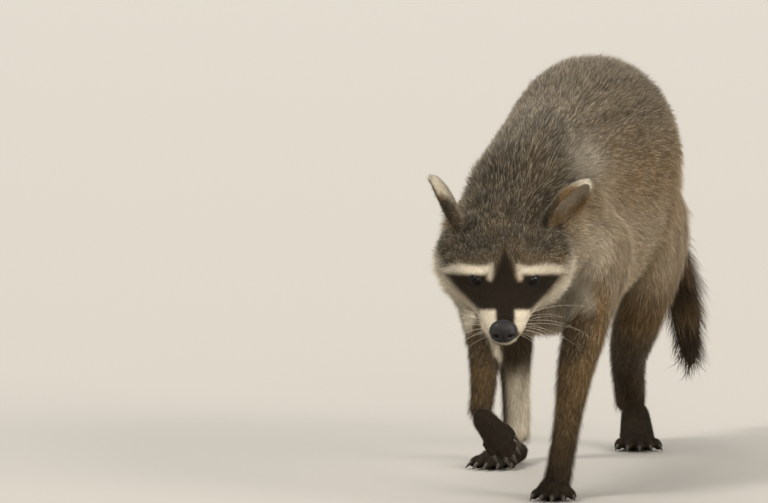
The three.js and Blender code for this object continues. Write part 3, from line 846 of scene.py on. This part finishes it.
def markings(points, normals, part):
    """(dark, pale, warm) of each point, each 0 to 1. Pale holds some painted light and dark some painted
    shade.
    """
    x, y, z = (points / MM - FOREPAW_FROM_CENTRE).T
    side, ahead, above = in_frame(points, HEAD).T
    from_head = np.linalg.norm([side, ahead, above], axis=0)
    a = np.abs(side)
    v = 0.477 * ahead - 0.879 * above - 2.0

    def on(*words):
        return np.any([np.char.find(part, word) >= 0 for word in words], axis=0)

    back = between(z, 226, 300)
    core, neck, upper = on("trunk"), on("neck", "skull"), on("upper")
    warm = np.where(core, 0.25 + 0.5 * (1 - back) + 0.2 * between(y, 250, 380) * between(z, 300, 200), 0.12)
    warm = np.where(neck, 0.1 + 0.6 * between(z, 205, 165) * between(x, -10, 30), warm)
    dark = np.where(core, 0.22 * between(y, 200, 320) * between(z, 280, 315), 0.0)
    # Painted highlight: a pale patch where sun falls on the withers.
    painted_withers_highlight = between(np.hypot(x - 52, (y - 86) / 1.6), 34, 12) * between(z, 236, 262)
    # Painted light: the belly and the lower flank are made paler where sun falls on them.
    pale = np.where(core | neck, 0.35 * painted_withers_highlight + 0.15 * between(z, 160, 120) * core, 0.0)
    painted_lit_flank = between(z, 240, 200) * between(x, -20, 30) * np.where(core, 0.18, 0.0)
    # Painted light: the chest below the head is made pale and warm as if sunlit, not in the head's shade.
    behind_head = between(from_head, 72, 108)
    painted_lit_chest = between(y, 170, 110) * between(z, 236, 190) * between(x, -10, 25) * (core | neck) * behind_head
    pale = np.maximum(pale, painted_lit_flank + 0.45 * painted_lit_chest)
    warm = np.maximum(warm, 0.8 * painted_lit_chest)
    # Painted light: the left haunch and the left upper foreleg, on the sunlit side, are made paler.
    pale = np.where(on("hindleg_left") & upper, 0.25 * between(z, 120, 170), pale)
    pale = np.where(on("foreleg_left") & upper, 0.25, pale)
    warm = np.where(on("foreleg") & upper, 0.8, warm)
    warm = np.where(on("foreleg") & on("lower"), 0.8 - 0.3 * between(z, 110, 40), warm)
    dark = np.where(on("foreleg") & on("lower"), 0.06 + 0.7 * between(z, 115, 20), dark)
    dark = np.where(on("foreleg_right") & on("lower"), 0.18 + 0.4 * between(z, 150, 80), dark)
    dark = np.where(on("foreleg") & on("palm", "toe"), 0.9, dark)
    warm = np.where(on("hind") & upper, 0.9, warm)
    dark = np.where(on("hind") & upper, 0.04 + 0.28 * between(z, 180, 120), dark)
    dark = np.where(on("hind") & on("lower"), 0.36 + 0.4 * between(z, 130, 70), dark)
    warm = np.where(on("hind") & on("lower"), 0.55, warm)
    # Painted shade: the right hind leg, on the shaded side, is made darker.
    dark = np.where(on("hindleg_right") & on("upper", "lower"), dark + 0.14, dark)
    dark = np.where(on("hind") & on("palm", "toe"), 0.84, dark)
    # The front of the right shank is partly its own paler fur and partly a painted highlight of sun, on the
    # side that faces the light.
    pale_and_sunlit_shank = on("hindleg_right") & on("lower", "palm")
    pale_and_sunlit_shank = pale_and_sunlit_shank * between(normals[:, 0] * 0.8 - normals[:, 1] * 0.6, 0.0, 0.5)
    pale_and_sunlit_shank = pale_and_sunlit_shank * between(z, 12, 30) * between(z, 86, 66)
    pale = np.where(on("hindleg_right"), np.maximum(pale, 0.95 * pale_and_sunlit_shank), pale)
    dark = dark * (1 - on("hindleg_right") * pale_and_sunlit_shank)
    along = np.hypot(y - 392, z - 250)
    rings = 0.5 + 0.5 * np.cos(2 * np.pi * along / 47 + 0.9)
    dark = np.where(on("tail"), 0.6 + 0.35 * np.maximum(between(rings, 0.4, 0.75), between(z, 92, 78)), dark)
    warm = np.where(on("tail"), 0.75, warm)

    face = between(ahead, -78, -60) * between(from_head, 96, 88) * between(v, 75, 60)
    mask = np.maximum(inside(MASK, a, v, 2.4), inside(STRIPE, a, v, 4.0)) * face
    cheek = between(a, 43, 51) * between(above, 8, -3) * between(above, -48, -36) * between(ahead, -66, -54)
    white = np.max([
        inside(MUZZLE, a, v, 3.2), 0.9 * inside(BROW, a, v, 4.4), 0.7 * inside(SPOT, a, v, 4.2), 0.9 * cheek,
        inside(RUFF, a, v, 7.0) * between(v, -22, -14), 0.8 * on("jaw") * between(ahead, 20, 45),
    ], axis=0) * face
    pale = np.maximum(pale * (1 - mask), white)
    dark = np.maximum(dark * (1 - white), mask)
    warm = np.where(face * between(v, -4, 8) > 0.5, 0.4, warm)

    for name, (foot, stand) in EARS.items():
        mine = on(name)
        local = in_frame(points, (foot, stand))
        facing = normals @ stand[:, 1]
        upright = local[:, 2] - EAR_LENGTH * EAR_RISE
        out = np.hypot(local[:, 0] / (EAR_WIDTH / 2), upright / (EAR_LENGTH / 2))
        hollow = between(facing, -0.1, 0.3) * between(out, 0.9, 0.74)
        rim = between(out, 0.66, 0.8)
        above_base = between(local[:, 2], -3, 15)
        pale = np.where(mine, (0.3 * (1 - hollow) + 0.35 * hollow) * above_base, pale)
        pale = np.where(mine, np.maximum(pale, 0.95 * rim * above_base), pale)
        warm = np.where(mine, 0.4 + 0.5 * hollow, warm)
        dark = np.where(mine, 0.5 * hollow * between(out, 0.5, 0.15) + 0.4 * (1 - above_base), dark)
    return np.stack([np.clip(dark, 0, 1), np.clip(pale, 0, 1), np.clip(warm, 0, 1)], 1)


skin_marks = markings(skin_points, skin_normals, belongs)
blended = spread(skin_marks, 7)
on_body = between(distance_to(skin_points, head_place([0, 0, -10.0])), 0.075, 0.095)
skin_marks = skin_marks + (blended - skin_marks) * on_body[:, None]
print("markings: dark, pale, warm mean", np.round(skin_marks.mean(0), 2))

# %% [markdown]
# ## Sockets for the eyes and a line for the mouth
# Under each lid the skin steps back to make room for the eyeball, and where the jaw meets the muzzle a
# fine groove marks the closed lips. Both are pressed into the one skin.
# %% Press in the sockets and the lips
for centre, turn in EYES.values():
    distance, beyond = from_eye(skin_points, (centre, turn))
    socket = between(distance, 0.0125, 0.0095) * between(beyond, np.radians(10), np.radians(4))
    goal = centre + (skin_points - centre) / distance[:, None] * (EYE_RADIUS - 1.6) * MM
    skin_points = skin_points + socket[:, None] * (goal - skin_points)

aside, forward, upward = in_frame(skin_points, HEAD).T
lip_height = -29.5 - 5.5 * between(forward, 40, 5)
lips = np.exp(-((upward - lip_height) / 1.3) ** 2) * between(forward, 2, 10) * between(forward, 58, 54)
lips = lips * between(np.abs(aside), 2, 5) * between(np.abs(upward + 32), 12, 8)
skin_points = skin_points - skin_normals * (1.1 * MM * lips)[:, None]
skin_marks[:, 0] = np.maximum(skin_marks[:, 0], 0.8 * lips)
skin_normals = point_normals(skin_points, skin_faces)
print("sockets and lips pressed in")

# %% [markdown]
# ## Length of the hair
# Short on the muzzle, round the eyes, on the ears and toes, and longest on the back and the tail. Where the
# hair is short it is also finer, and it stands a little steeper.
# %% Length, width and lift of the hair
head_local = in_frame(skin_points, HEAD)
aside, forward, upward = np.abs(head_local[:, 0]), head_local[:, 1], head_local[:, 2]


def part_is(word):
    """Where a point of the skin belongs to a length whose name has the word."""
    return np.char.find(belongs, word) >= 0


skull = part_is("skull")
muzzle = between(forward, 8, 26)
cheek = between(aside, 26, 42) * between(upward, 12, -4)
eye_gap = distance_to(skin_points, *(centre for centre, turn in EYES.values())) / MM
face_hair = 4.2 + 3.3 * between(forward, -2, -40) + 5.5 * cheek * between(forward, 0, -24)
face_hair = face_hair * (1 - 0.42 * muzzle) * (0.45 + 0.55 * between(eye_gap, 9, 16))
long = np.where(skull, face_hair, hair)
long = np.where(part_is("jaw"), 3.0 + 4.0 * between(forward, 20, -5), long)
long = np.where(part_is("ear"), 3.8, long)
ear_gap = distance_to(skin_points, *ear_places) / MM
long = np.minimum(long, np.interp(ear_gap, [18, 38], [4.2, 30.0]))
long = np.where(part_is("palm"), 4.2, long)
long = np.where(part_is("toe"), 2.4, long)
long = spread(long[:, None], 8)[:, 0]
half_width = np.interp(long, [2.2, 4, 8, 13, 17, 20], [0.08, 0.11, 0.145, 0.165, 0.20, 0.25])
cover = np.interp(long, [2.2, 5, 10, 20], [0.92, 1.55, 1.62, 2.0])
lift = np.interp(long, [2.2, 4, 8, 14, 20], [0.42, 0.42, 0.38, 0.34, 0.40])
print("hair lengths", np.round(np.percentile(long, [0, 25, 50, 75, 100]), 1), "mm")

# %% [markdown]
# ## Colour of hair and hide
# Hair and hide take their colour from the same three marks, so that a gap in the coat never shows. Each
# hair of a raccoon is ringed: dusky at the root, lighter in the middle and either black or pale at the
# tip, and it is this mixture that makes the back look grizzled. A random number held by each tuft picks
# its tip, and a wide, soft noise varies the whole.
# %% Coat material
GREY = [srgb(20, 19, 16), srgb(40, 37, 31), srgb(76, 71, 60)]
WARM = [srgb(54, 42, 27), srgb(108, 84, 52), srgb(152, 123, 82)]
DARK = [srgb(20, 15, 10), srgb(27, 21, 14), srgb(42, 33, 22)]
PALE = [srgb(142, 130, 111), srgb(180, 170, 151), srgb(206, 198, 181)]
BAND_PLACES = (0.0, 0.45, 1.0)
TIP_TONE = srgb(190, 181, 160)
BURNT_TONE = srgb(36, 30, 24)


def coat_colour(at, reach, chance):
    """Colour from the attribute marks, at reach along the hair (0 root, 1 tip), with chance per tuft. Two
    tufts in five are pale at the tip, and three in ten are burnt brown."""
    marks = at.node("ShaderNodeAttribute", {"attribute_name": "marks"}, out=1)
    split = marks.node("ShaderNodeSeparateXYZ", i0=marks)
    dark, pale, warm = (Socket(at.tree, split.socket.node.outputs[k]) for k in range(3))
    place = at.node("ShaderNodeTexCoord", out=3)
    cloud = place.node("ShaderNodeTexNoise", i0=place, Scale=55.0, Detail=3.0)
    grey, tawny, black, cream = (
        reach.node("ShaderNodeValToRGB", {"stops": list(zip(BAND_PLACES, tone))}, i0=reach)
        for tone in (GREY, WARM, DARK, PALE)
    )
    warmth = (warm + (cloud - 0.5) * 0.5 + (chance - 0.5) * 0.35).clamped()
    colour = warmth.mix(grey, tawny)
    tipped = ((chance - 0.6) * 5.0).clamped() * (reach * 3.0 - 1.5).clamped() * (1.0 - dark) * 0.8
    colour = tipped.mix(colour, TIP_TONE)
    burnt = ((0.3 - chance) * 5.0).clamped() * (reach * 3.0 - 0.9).clamped() * (1.0 - pale) * 0.8
    colour = burnt.mix(colour, BURNT_TONE)
    colour = dark.mix(colour, black)
    colour = pale.mix(colour, cream)
    level = cloud * 0.6 + chance * 0.5 + 0.45
    return colour.node("ShaderNodeVectorMath", {"operation": "SCALE"}, i0=colour, Scale=level)


coat_material, coat_shader, at = new_material(
    "coat", Roughness=0.65, Specular_IOR_Level=0.08, Sheen_Weight=0.12, Sheen_Roughness=0.5,
    Sheen_Tint=srgb(236, 222, 196),
)
reach, chance = (
    at.node("ShaderNodeAttribute", {"attribute_name": key}, out=2) for key in ("reach", "chance")
)
feed(coat_shader, "Base Color", coat_colour(at, reach, chance))

hide_material, hide_shader, at = new_material("hide", Roughness=0.8, Specular_IOR_Level=0.06)
place = at.node("ShaderNodeTexCoord", out=3)
fine_hair = place.node("ShaderNodeTexNoise", i0=place, Scale=900.0, Detail=3.0, Roughness=0.7)
speckle = place.node("ShaderNodeTexNoise", i0=place, Scale=420.0, Detail=2.0)
hide_reach, hide_chance = (speckle * 0.7 + 0.05).clamped(), (fine_hair * 1.6 - 0.3).clamped()
feed(hide_shader, "Base Color", coat_colour(at, hide_reach, hide_chance))
hair_bump = fine_hair.node("ShaderNodeBump", Strength=0.55, Distance=0.0006, Height=fine_hair)
feed(hide_shader, "Normal", hair_bump)


def add_attribute(mesh, name, values):
    """A per-point attribute, a vector where values has three columns."""
    kind, field = ("FLOAT_VECTOR", "vector") if values.ndim == 2 else ("FLOAT", "value")
    made = mesh.attributes.new(name, kind, "POINT")
    made.data.foreach_set(field, np.asarray(values, np.float32).ravel())


def welded(mesh):
    """The mesh with points that lie together made one, which closes its poles and its ends."""
    work = bmesh.new()
    work.from_mesh(mesh)
    bmesh.ops.remove_doubles(work, verts=work.verts, dist=1e-7)
    work.to_mesh(mesh)
    work.free()
    return mesh


def add_piece(name, mesh, material, instead_of=()):
    """Puts a finished mesh in the scene as a piece that rides on the body."""
    piece = bpy.data.objects.new(name, mesh)
    bpy.context.scene.collection.objects.link(piece)
    mesh.materials.append(material)
    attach(piece, "root")
    if instead_of:
        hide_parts(*instead_of)
    return piece


FLESH = [
    "head", "jaw", "neck", "chest", "belly", "rump", "ear_left", "ear_right",
    "tail_base", "tail_middle", "tail_tip",
    *(f"{part}_{side}" for side in ("left", "right")
      for part in ("upper_arm", "forearm", "forepaw", "thigh", "shank", "hind_foot")),
]
skin_mesh = mesh_from("skin", skin_points, skin_faces)
add_attribute(skin_mesh, "marks", skin_marks)
add_piece("skin", skin_mesh, hide_material, FLESH)
print("skin stands for", len(FLESH), "nodes")

# %% [markdown]
# ## The coat
# Every tuft is a thin closed blade that rises from a root in the skin, leans the way the coat lies and
# tapers to a point. Roots fall at random over the skin's triangles, more of them where the hair is short.
# The face, the ears and the feet wear tufts a few millimetres long; the back and the tail wear long
# ones, one in seven of them a bent guard hair that reaches a little farther than the rest.
# %% Roots and blades
PATCH = 0.003
SINK = 0.00045
PIECE_TRIANGLES = 190000


def scatter(density, seed):
    """Random places on the skin: density is tufts per square millimetre at each point of the skin. Returns
    the triangle of each place and its weights for the three corners."""
    corner = skin_points[skin_faces]
    twice = np.cross(corner[:, 1] - corner[:, 0], corner[:, 2] - corner[:, 0])
    area = np.linalg.norm(twice, axis=1) / 2 / MM**2
    expected = area * density[skin_faces].mean(1)
    draw = np.random.default_rng(seed)
    number = draw.poisson(expected)
    face = np.repeat(np.arange(len(skin_faces)), number)
    u, w = draw.random((2, len(face)))
    flip = u + w > 1
    u, w = np.where(flip, 1 - u, u), np.where(flip, 1 - w, w)
    return skin_faces[face], np.stack([1 - u - w, u, w], 1)


def at_roots(values, corners, weights):
    """values of the skin's points, blended at each root."""
    picked = values[corners]
    return (picked * (weights[..., None] if picked.ndim == 3 else weights)).sum(1)


def blades(root, normal, lie, length, width, rise, curl, stations, draw):
    """Closed three-sided blades. A point at share s of a blade lies at
    root + lie L (s - 0.12 s^2) + normal (rise L (1 - (1 - s)^1.7) - sink) + side curl L s^2,
    and its half width there is width (1 - 0.45 s), three quarters of that at the root and none at the tip.
    Returns points, faces, the share s of each point of a blade and how far it is to the side, -1 to 1."""
    side = np.cross(normal, lie)
    s = np.append(np.linspace(0, 1, stations + 1)[:-1], 1.0)
    middle = (
        root[:, None]
        + lie[:, None] * (length[:, None] * (s - 0.12 * s**2))[..., None]
        + normal[:, None] * (length[:, None] * rise[:, None] * (1 - (1 - s) ** 1.7) - SINK)[..., None]
        + side[:, None] * (length[:, None] * curl[:, None] * s**2)[..., None]
    )
    ring = np.array([(-1.0, 0.0), (0.0, 0.42), (1.0, 0.0)])
    spin = draw.uniform(-0.5, 0.5, len(root))
    across = unit(side + normal * spin[:, None])
    over = np.cross(lie, across)
    wide = width[:, None] * np.where(s[:-1] > 0, 1.0, 0.75) * (1 - s[:-1] * 0.45)
    rings = (
        middle[:, :-1, None]
        + across[:, None, None] * (wide[..., None] * ring[:, 0])[..., None]
        + over[:, None, None] * (wide[..., None] * ring[:, 1])[..., None]
    )
    count, per = len(root), 3 * stations + 1
    points = np.concatenate([rings.reshape(count, -1, 3), middle[:, -1:]], 1).reshape(-1, 3)
    faces = [(0, 1, 2)]
    for level in range(stations - 1):
        for k in range(3):
            a, b = 3 * level + k, 3 * level + (k + 1) % 3
            faces += [(a, b + 3, b), (a, a + 3, b + 3)]
    last = 3 * (stations - 1)
    faces += [(last + (k + 1) % 3, last + k, per - 1) for k in range(3)]
    faces = (np.array(faces)[None] + per * np.arange(count)[:, None, None]).reshape(-1, 3)
    share = np.append(np.repeat(s[:-1], 3), 1.0)
    return points, faces, share, np.append(np.tile(ring[:, 0], stations), 0.0)


def unrolled(corners, weights):
    """Places of roots on a flat map of the skin: each length of the body is unrolled into a strip of its
    own, the angle round the length along it and the share t across."""
    sample = nearest[corners[np.arange(len(corners)), weights.argmax(1)]]
    place = at_roots(skin_points, corners, weights)
    away = place - told["place"][sample]
    angle = np.arctan2((away * told["up"][sample]).sum(1), (away * told["left"][sample]).sum(1))
    step = (away * told["run"][sample]).sum(1) / (told["girth"][sample] * 3)
    share = np.clip(told["share"][sample] + step * 0.1, 0.01, 0.99)
    strips, row = np.unique(told["length"][sample], return_inverse=True)
    along = 0.005 + 0.985 * (angle / (2 * np.pi) + 0.5)
    return np.stack([along, (row + 0.03 + 0.93 * share) / len(strips)], 1)


# %% Where no tuft grows
bare = np.zeros(len(skin_points))
for eye in EYES.values():
    distance, beyond = from_eye(skin_points, eye)
    round_eye = between(distance, 0.0125, 0.011) * between(beyond, np.radians(9), np.radians(6))
    bare = np.maximum(bare, round_eye)
pad = np.linalg.norm((head_local - (0, 54.0, -17)) / (11.6, 8.5, 9.6), axis=1)
bare = np.maximum(bare, between(pad, 1.12, 1.02))
sole = between(skin_points[:, 2], 0.004, 0.002) * between(skin_normals[:, 2], -0.2, -0.6)
bare = np.maximum(bare, sole)
density = cover / (long * half_width) * (1 - bare)
density = density * np.where(part_is("ear"), 1.2, 1.0) * np.where(part_is("hindleg"), 0.8, 1.0)

REGIONS = {
    "face": skull & (forward > -16) | part_is("jaw"),
    "crown": skull & (forward <= -16),
    "ears": part_is("ear"),
    "neck": part_is("neck"),
    "trunk_left": part_is("trunk") & (skin_points[:, 0] >= 0),
    "trunk_right": part_is("trunk") & (skin_points[:, 0] < 0),
    "foreleg_left": part_is("foreleg_left"),
    "foreleg_right": part_is("foreleg_right"),
    "hindleg_left": part_is("hindleg_left"),
    "hindleg_right": part_is("hindleg_right"),
    "tail": part_is("tail"),
}
GUARD_SHARE = 0.14


def tufts(corners, weights, draw):
    """The tufts of one region as arrays: two kinds, short straight blades and longer bent guard hairs."""
    root = at_roots(skin_points, corners, weights)
    normal = unit(at_roots(skin_normals, corners, weights))
    length = at_roots(long, corners, weights) * draw.uniform(0.72, 1.22, len(root))
    width = at_roots(half_width, corners, weights) * draw.uniform(0.75, 1.25, len(root))
    rise = at_roots(lift, corners, weights) * draw.uniform(0.6, 1.25, len(root))
    lie = at_roots(flow, corners, weights) + 0.2 * at_roots(locks, corners, weights)
    lie = lie + 0.14 * draw.normal(size=lie.shape)
    lie = unit(lie - normal * (lie * normal).sum(1, keepdims=True))
    marks = at_roots(skin_marks, corners, weights)
    chance = draw.random(len(root))
    curl = 0.10 * draw.normal(size=len(root))
    flat = unrolled(corners, weights)
    guard = (draw.random(len(root)) < GUARD_SHARE) & (length > 6.5)
    parts = []
    for some, stations, grow in ((~guard, 1, 1.0), (guard, 2, 1.15)):
        points, faces, share, across = blades(
            root[some], normal[some], lie[some], length[some] * grow * MM, width[some] * MM, rise[some],
            curl[some], stations, draw,
        )
        per = len(share)
        uv = flat[some][:, None] + PATCH * np.stack([across * 0.5, share - 0.5 + 0.25 * (across == 0)], -1)
        parts.append({
            "points": points, "faces": faces, "uv": uv.reshape(-1, 2),
            "marks": np.repeat(marks[some], per, axis=0),
            "reach": np.tile(share, some.sum()),
            "chance": np.repeat(chance[some], per),
            "normals": np.repeat(normal[some], per, axis=0),
        })
    first = len(parts[0]["points"])
    parts[1]["faces"] = parts[1]["faces"] + first
    return {key: np.concatenate([part[key] for part in parts]) for key in parts[0]}


SOFTNESS = 0.45
FLOOR_GAP = 0.0001


def coat_mesh(name, made):
    """A mesh of tufts with its marks, its OFBake map, and normals turned part of the way to the skin's."""
    made["points"][:, 2] = np.maximum(made["points"][:, 2], FLOOR_GAP)
    mesh = mesh_from(name, made["points"], made["faces"])
    for key in ("marks", "reach", "chance"):
        add_attribute(mesh, key, made[key])
    flat = mesh.uv_layers.new(name="OFBake")
    flat.data.foreach_set("uv", made["uv"][made["faces"].ravel()].astype(np.float32).ravel())
    own = np.empty(len(mesh.vertices) * 3, np.float32)
    mesh.vertex_normals.foreach_get("vector", own)
    soft = unit(own.reshape(-1, 3) * (1 - SOFTNESS) + made["normals"] * SOFTNESS)
    mesh.normals_split_custom_set_from_vertices(soft)
    return mesh


coat_triangles = 0
for number, (name, where) in enumerate(REGIONS.items()):
    corners, weights = scatter(np.where(where, density, 0.0), 100 + number)
    kind = 4 + 6 * GUARD_SHARE * (np.median(long[where]) > 7)
    shares = max(1, int(np.ceil(len(corners) * kind / PIECE_TRIANGLES)))
    order = np.argsort(skin_points[corners[:, 0], 1])
    for share, chosen in enumerate(np.array_split(order, shares)):
        label = f"coat_{name}" if shares == 1 else f"coat_{name}_{share + 1}"
        seeded = np.random.default_rng(500 + 10 * number + share)
        made = tufts(corners[chosen], weights[chosen], seeded)
        add_piece(label, coat_mesh(label, made), coat_material)
        coat_triangles += len(made["faces"])
        print(label, len(chosen), "tufts", len(made["faces"]), "triangles")
print("coat", coat_triangles, "triangles")

# %% [markdown]
# ## Eyes and lids
# A raccoon's eye is a dark brown bead. The ball is a sphere with a slightly raised cornea. The lid is a
# thin dark rim of skin over it, open in an almond 9 mm wide and 6 mm high whose corners lie along the mask.
# %% Eyeballs and lids
EYE_GRID = (41, 48)
LID_GRID = (20, 72)
LID_BAND = np.radians(9)
eye_material, eye_shader, at = new_material(
    "eye", Roughness=0.3, Specular_IOR_Level=0.05, Coat_Weight=0.28, Coat_Roughness=0.02, IOR=1.38,
)
ring = at.node("ShaderNodeAttribute", {"attribute_name": "polar"}, out=2)
brown = ring.node("ShaderNodeValToRGB", {"stops": [
    (0.0, srgb(4, 3, 3)), (0.2, srgb(4, 3, 3)), (0.24, srgb(13, 8, 5)), (0.4, srgb(10, 6, 4)),
    (0.47, srgb(5, 4, 4)), (1.0, srgb(8, 6, 5)),
]}, i0=ring)
feed(eye_shader, "Base Color", brown)

lid_material, lid_shader, at = new_material("lid", Roughness=0.6, Specular_IOR_Level=0.15)
place = at.node("ShaderNodeTexCoord", out=3)
grain = place.node("ShaderNodeTexNoise", i0=place, Scale=1400.0, Detail=2.0)
feed(lid_shader, "Base Color", grain.mix(srgb(14, 11, 8), srgb(26, 21, 15)))
feed(lid_shader, "Normal", grain.node("ShaderNodeBump", Strength=0.5, Distance=0.0004, Height=grain))

for name, (centre, turn) in EYES.items():
    polar, angle = sphere_grid(*EYE_GRID)
    bulge = EYE_RADIUS * MM * (1 + 0.035 * between(polar, 0.62, 0.3))
    points = centre + ball_points(polar, angle, bulge[..., None]) @ turn.T
    mesh = mesh_from(f"eyeball_{name}", points.reshape(-1, 3), grid_faces(*EYE_GRID)[:, ::-1])
    add_attribute(mesh, "polar", (polar / (np.pi / 2)).clip(0, 1).ravel())
    welded(mesh)
    add_piece(f"eyeball_{name}", mesh, eye_material, [f"eye_{name}"])

    angle = np.linspace(0, 2 * np.pi, LID_GRID[1], endpoint=False)[None]
    loop = np.linspace(0, 2 * np.pi, LID_GRID[0], endpoint=False)[:, None]
    reach = 0.5 - 0.5 * np.cos(loop)
    polar = lid_opening(angle) + LID_BAND * reach
    height = 0.03 + 0.2 * np.clip(np.sin(loop), 0, 1) ** 0.6 + 0.2 * reach
    height = np.where(loop > np.pi, -0.12, height)
    points = centre + ball_points(polar, angle, ((EYE_RADIUS * 1.02 + height) * MM)[..., None]) @ turn.T
    quads = grid_faces(*LID_GRID, looped=True)[:, ::-1]
    add_piece(f"lid_{name}", mesh_from(f"lid_{name}", points.reshape(-1, 3), quads), lid_material)
print("eyes and lids made")

# %% [markdown]
# ## Nose
# The nose pad is bare, damp leather: rounded above, grooved down the middle, with a nostril on each side
# that runs out into a comma-shaped slit. Its grain is a pattern of tiny cells.
# %% Nose leather
NOSE_GRID = (90, 120)
NOSE_HALF_SIZE = np.array([11.1, 7.4, 9.7])
NOSE_CENTRE = np.array([1.7, 54.5, -17.8])

polar, angle = sphere_grid(*NOSE_GRID)
ball = np.stack([np.sin(polar) * np.cos(angle), np.cos(polar), np.sin(polar) * np.sin(angle)], -1)
shape = ball * NOSE_HALF_SIZE
front = between(ball[..., 1], 0.0, 0.5)
x, z = shape[..., 0], shape[..., 2]
hole = np.exp(-(((np.abs(x) - 5.9) / 2.1) ** 2 + ((z + 2.0) / 1.9) ** 2) ** 1.3)
slit = np.exp(-(((z + 2.8 + 0.10 * (np.abs(x) - 7.4) ** 2) / 0.9) ** 2)) * between(np.abs(x), 5.0, 6.4)
groove = np.exp(-((x / 0.75) ** 2)) * between(z, 2.0, -1.5)
dent = front * (3.6 * hole + 0.9 * groove) + between(ball[..., 1], -0.3, 0.2) * 1.7 * slit
wing = 0.9 * np.exp(-(((np.abs(x) - 7.2) / 2.2) ** 2 + ((z - 0.8) / 2.0) ** 2)) * front
shape = shape - ball * (dent - wing)[..., None] * np.array([0.55, 1.0, 0.55])
shape = head_place((shape + NOSE_CENTRE).reshape(-1, 3))
nose_mesh = welded(mesh_from("nose_pad", shape, grid_faces(*NOSE_GRID)))
nose_material, nose_shader, at = new_material(
    "nose_leather", Specular_IOR_Level=0.22, Coat_Weight=0.08, Coat_Roughness=0.25,
)
place = at.node("ShaderNodeTexCoord", out=3)
cells = place.node("ShaderNodeTexVoronoi", i0=place, Scale=1500.0)
cloud = place.node("ShaderNodeTexNoise", i0=place, Scale=260.0, Detail=2.0)
feed(nose_shader, "Base Color", cloud.mix(srgb(15, 13, 13), srgb(29, 26, 26)))
feed(nose_shader, "Roughness", cloud * 0.25 + 0.38)
feed(nose_shader, "Normal", cells.node("ShaderNodeBump", Strength=0.5, Distance=0.0004, Height=cells))
add_piece("nose_pad", nose_mesh, nose_material, ["nose"])
print("nose made")

# %% [markdown]
# ## Claws and whiskers
# The twenty claws are short, curved and dark horn. The whiskers spring in rows from the pale pads of the
# muzzle, stiff at the root and drooping toward a fine point.
# %% Claws
CLAW_GRID = (10, 10)
CLAW_RADIUS = 1.75
WHISKER_GRID = (12, 5)
WHISKER_RADIUS = 0.08


def tapering(paths, radii, around):
    """Round tubes: paths (n, k, 3), radii (n, k), as points and quads. Each ring stands square to the path
    and has around points."""
    tangent = unit(np.gradient(paths, axis=1))
    helper = np.where(np.abs(tangent[..., 2:3]) > 0.9, np.array([1.0, 0, 0]), np.array([0, 0, 1.0]))
    across = unit(np.cross(tangent, helper))
    over = np.cross(tangent, across)
    count, rings = paths.shape[:2]
    angle = np.linspace(0, 2 * np.pi, around, endpoint=False)
    ring = across[:, :, None] * np.cos(angle)[:, None] + over[:, :, None] * np.sin(angle)[:, None]
    points = paths[:, :, None] + ring * radii[:, :, None, None]
    quads = grid_faces(rings, around)[None] + (rings * around) * np.arange(count)[:, None, None]
    return points.reshape(-1, 3), quads.reshape(-1, 4)


s = np.linspace(0, 1, CLAW_GRID[0])
paths = []
radii = []
for place, root, ahead, reach, radius, claw in CLAWS:
    start = np.array([*(root + ahead * (reach - 3.0)), radius * 0.95])
    run = np.array([*ahead, 0.0])
    bend = start + run * (claw + 2.5) * s[:, None] - np.array([0, 0, 1.0]) * (claw * 0.52 * s**2)[:, None]
    paths.append(to_row(bend @ place[1].T + place[0]))
    radii.append(CLAW_RADIUS * MM * (1 - s**1.6) ** 0.75 * (s > 0))
points, quads = tapering(np.array(paths), np.array(radii), CLAW_GRID[1])
points[:, 2] = np.maximum(points[:, 2], FLOOR_GAP)
claw_mesh = welded(mesh_from("claws", points, quads))
claw_material, claw_shader, at = new_material("claw_horn", Roughness=0.42, Specular_IOR_Level=0.45)
place = at.node("ShaderNodeTexCoord", out=3)
streak = place.node("ShaderNodeTexNoise", i0=place, Scale=500.0, Detail=2.0)
feed(claw_shader, "Base Color", streak.mix(srgb(22, 18, 15), srgb(56, 48, 39)))
add_piece("claws", claw_mesh, claw_material)
print(len(paths), "claws")

# %% Whiskers
draw = np.random.default_rng(77)
paths = []
for hand in (1, -1):
    for row in range(3):
        for column in range(4):
            root = np.array([hand * (11.5 + 1.3 * column), 44.0 - 5.0 * column, -18.5 - 4.4 * row])
            root = root + draw.normal(size=3) * 0.8
            out = np.array([
                hand * (0.92 + 0.1 * draw.normal()),
                0.12 - 0.17 * column + 0.1 * draw.normal(),
                0.22 - 0.2 * row + 0.05 * draw.normal(),
            ])
            size = (30 + 11.0 * column - 2.0 * row) * draw.uniform(0.7, 1.12)
            paths.append((root, out, size, -0.34 + 0.12 * draw.normal()))
root, out, size, droop = (np.array(list(column)) for column in zip(*paths))
out = unit(out)
s = np.append([0.0, 0.004], np.linspace(0, 1, WHISKER_GRID[0])[1:])
line = root[:, None] + out[:, None] * (size[:, None] * s)[..., None]
line = line + np.array([0, -0.35, 1.0]) * (size[:, None] * droop[:, None] * s**2)[..., None]
thin = np.tile(WHISKER_RADIUS * MM * (1 - s) ** 0.7 * (s > 0), (len(line), 1))
points, quads = tapering(head_place(line), thin, WHISKER_GRID[1])
whisker_material, whisker_shader, at = new_material("whisker", Roughness=0.4, Specular_IOR_Level=0.4)
place = at.node("ShaderNodeTexCoord", out=3)
streak = place.node("ShaderNodeTexNoise", i0=place, Scale=90.0)
feed(whisker_shader, "Base Color", streak.mix(srgb(190, 178, 158), srgb(224, 215, 198)))
add_piece("whiskers", welded(mesh_from("whiskers", points, quads)), whisker_material)
print(len(line), "whiskers")

# %% [markdown]
# ## Measure
# The box of the CAD model and the box of the finished model are printed side by side.
# %% Size and finish
size = {"cad": CAD_BOX, "visual": [list(corner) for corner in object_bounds()]}
print("size", size)
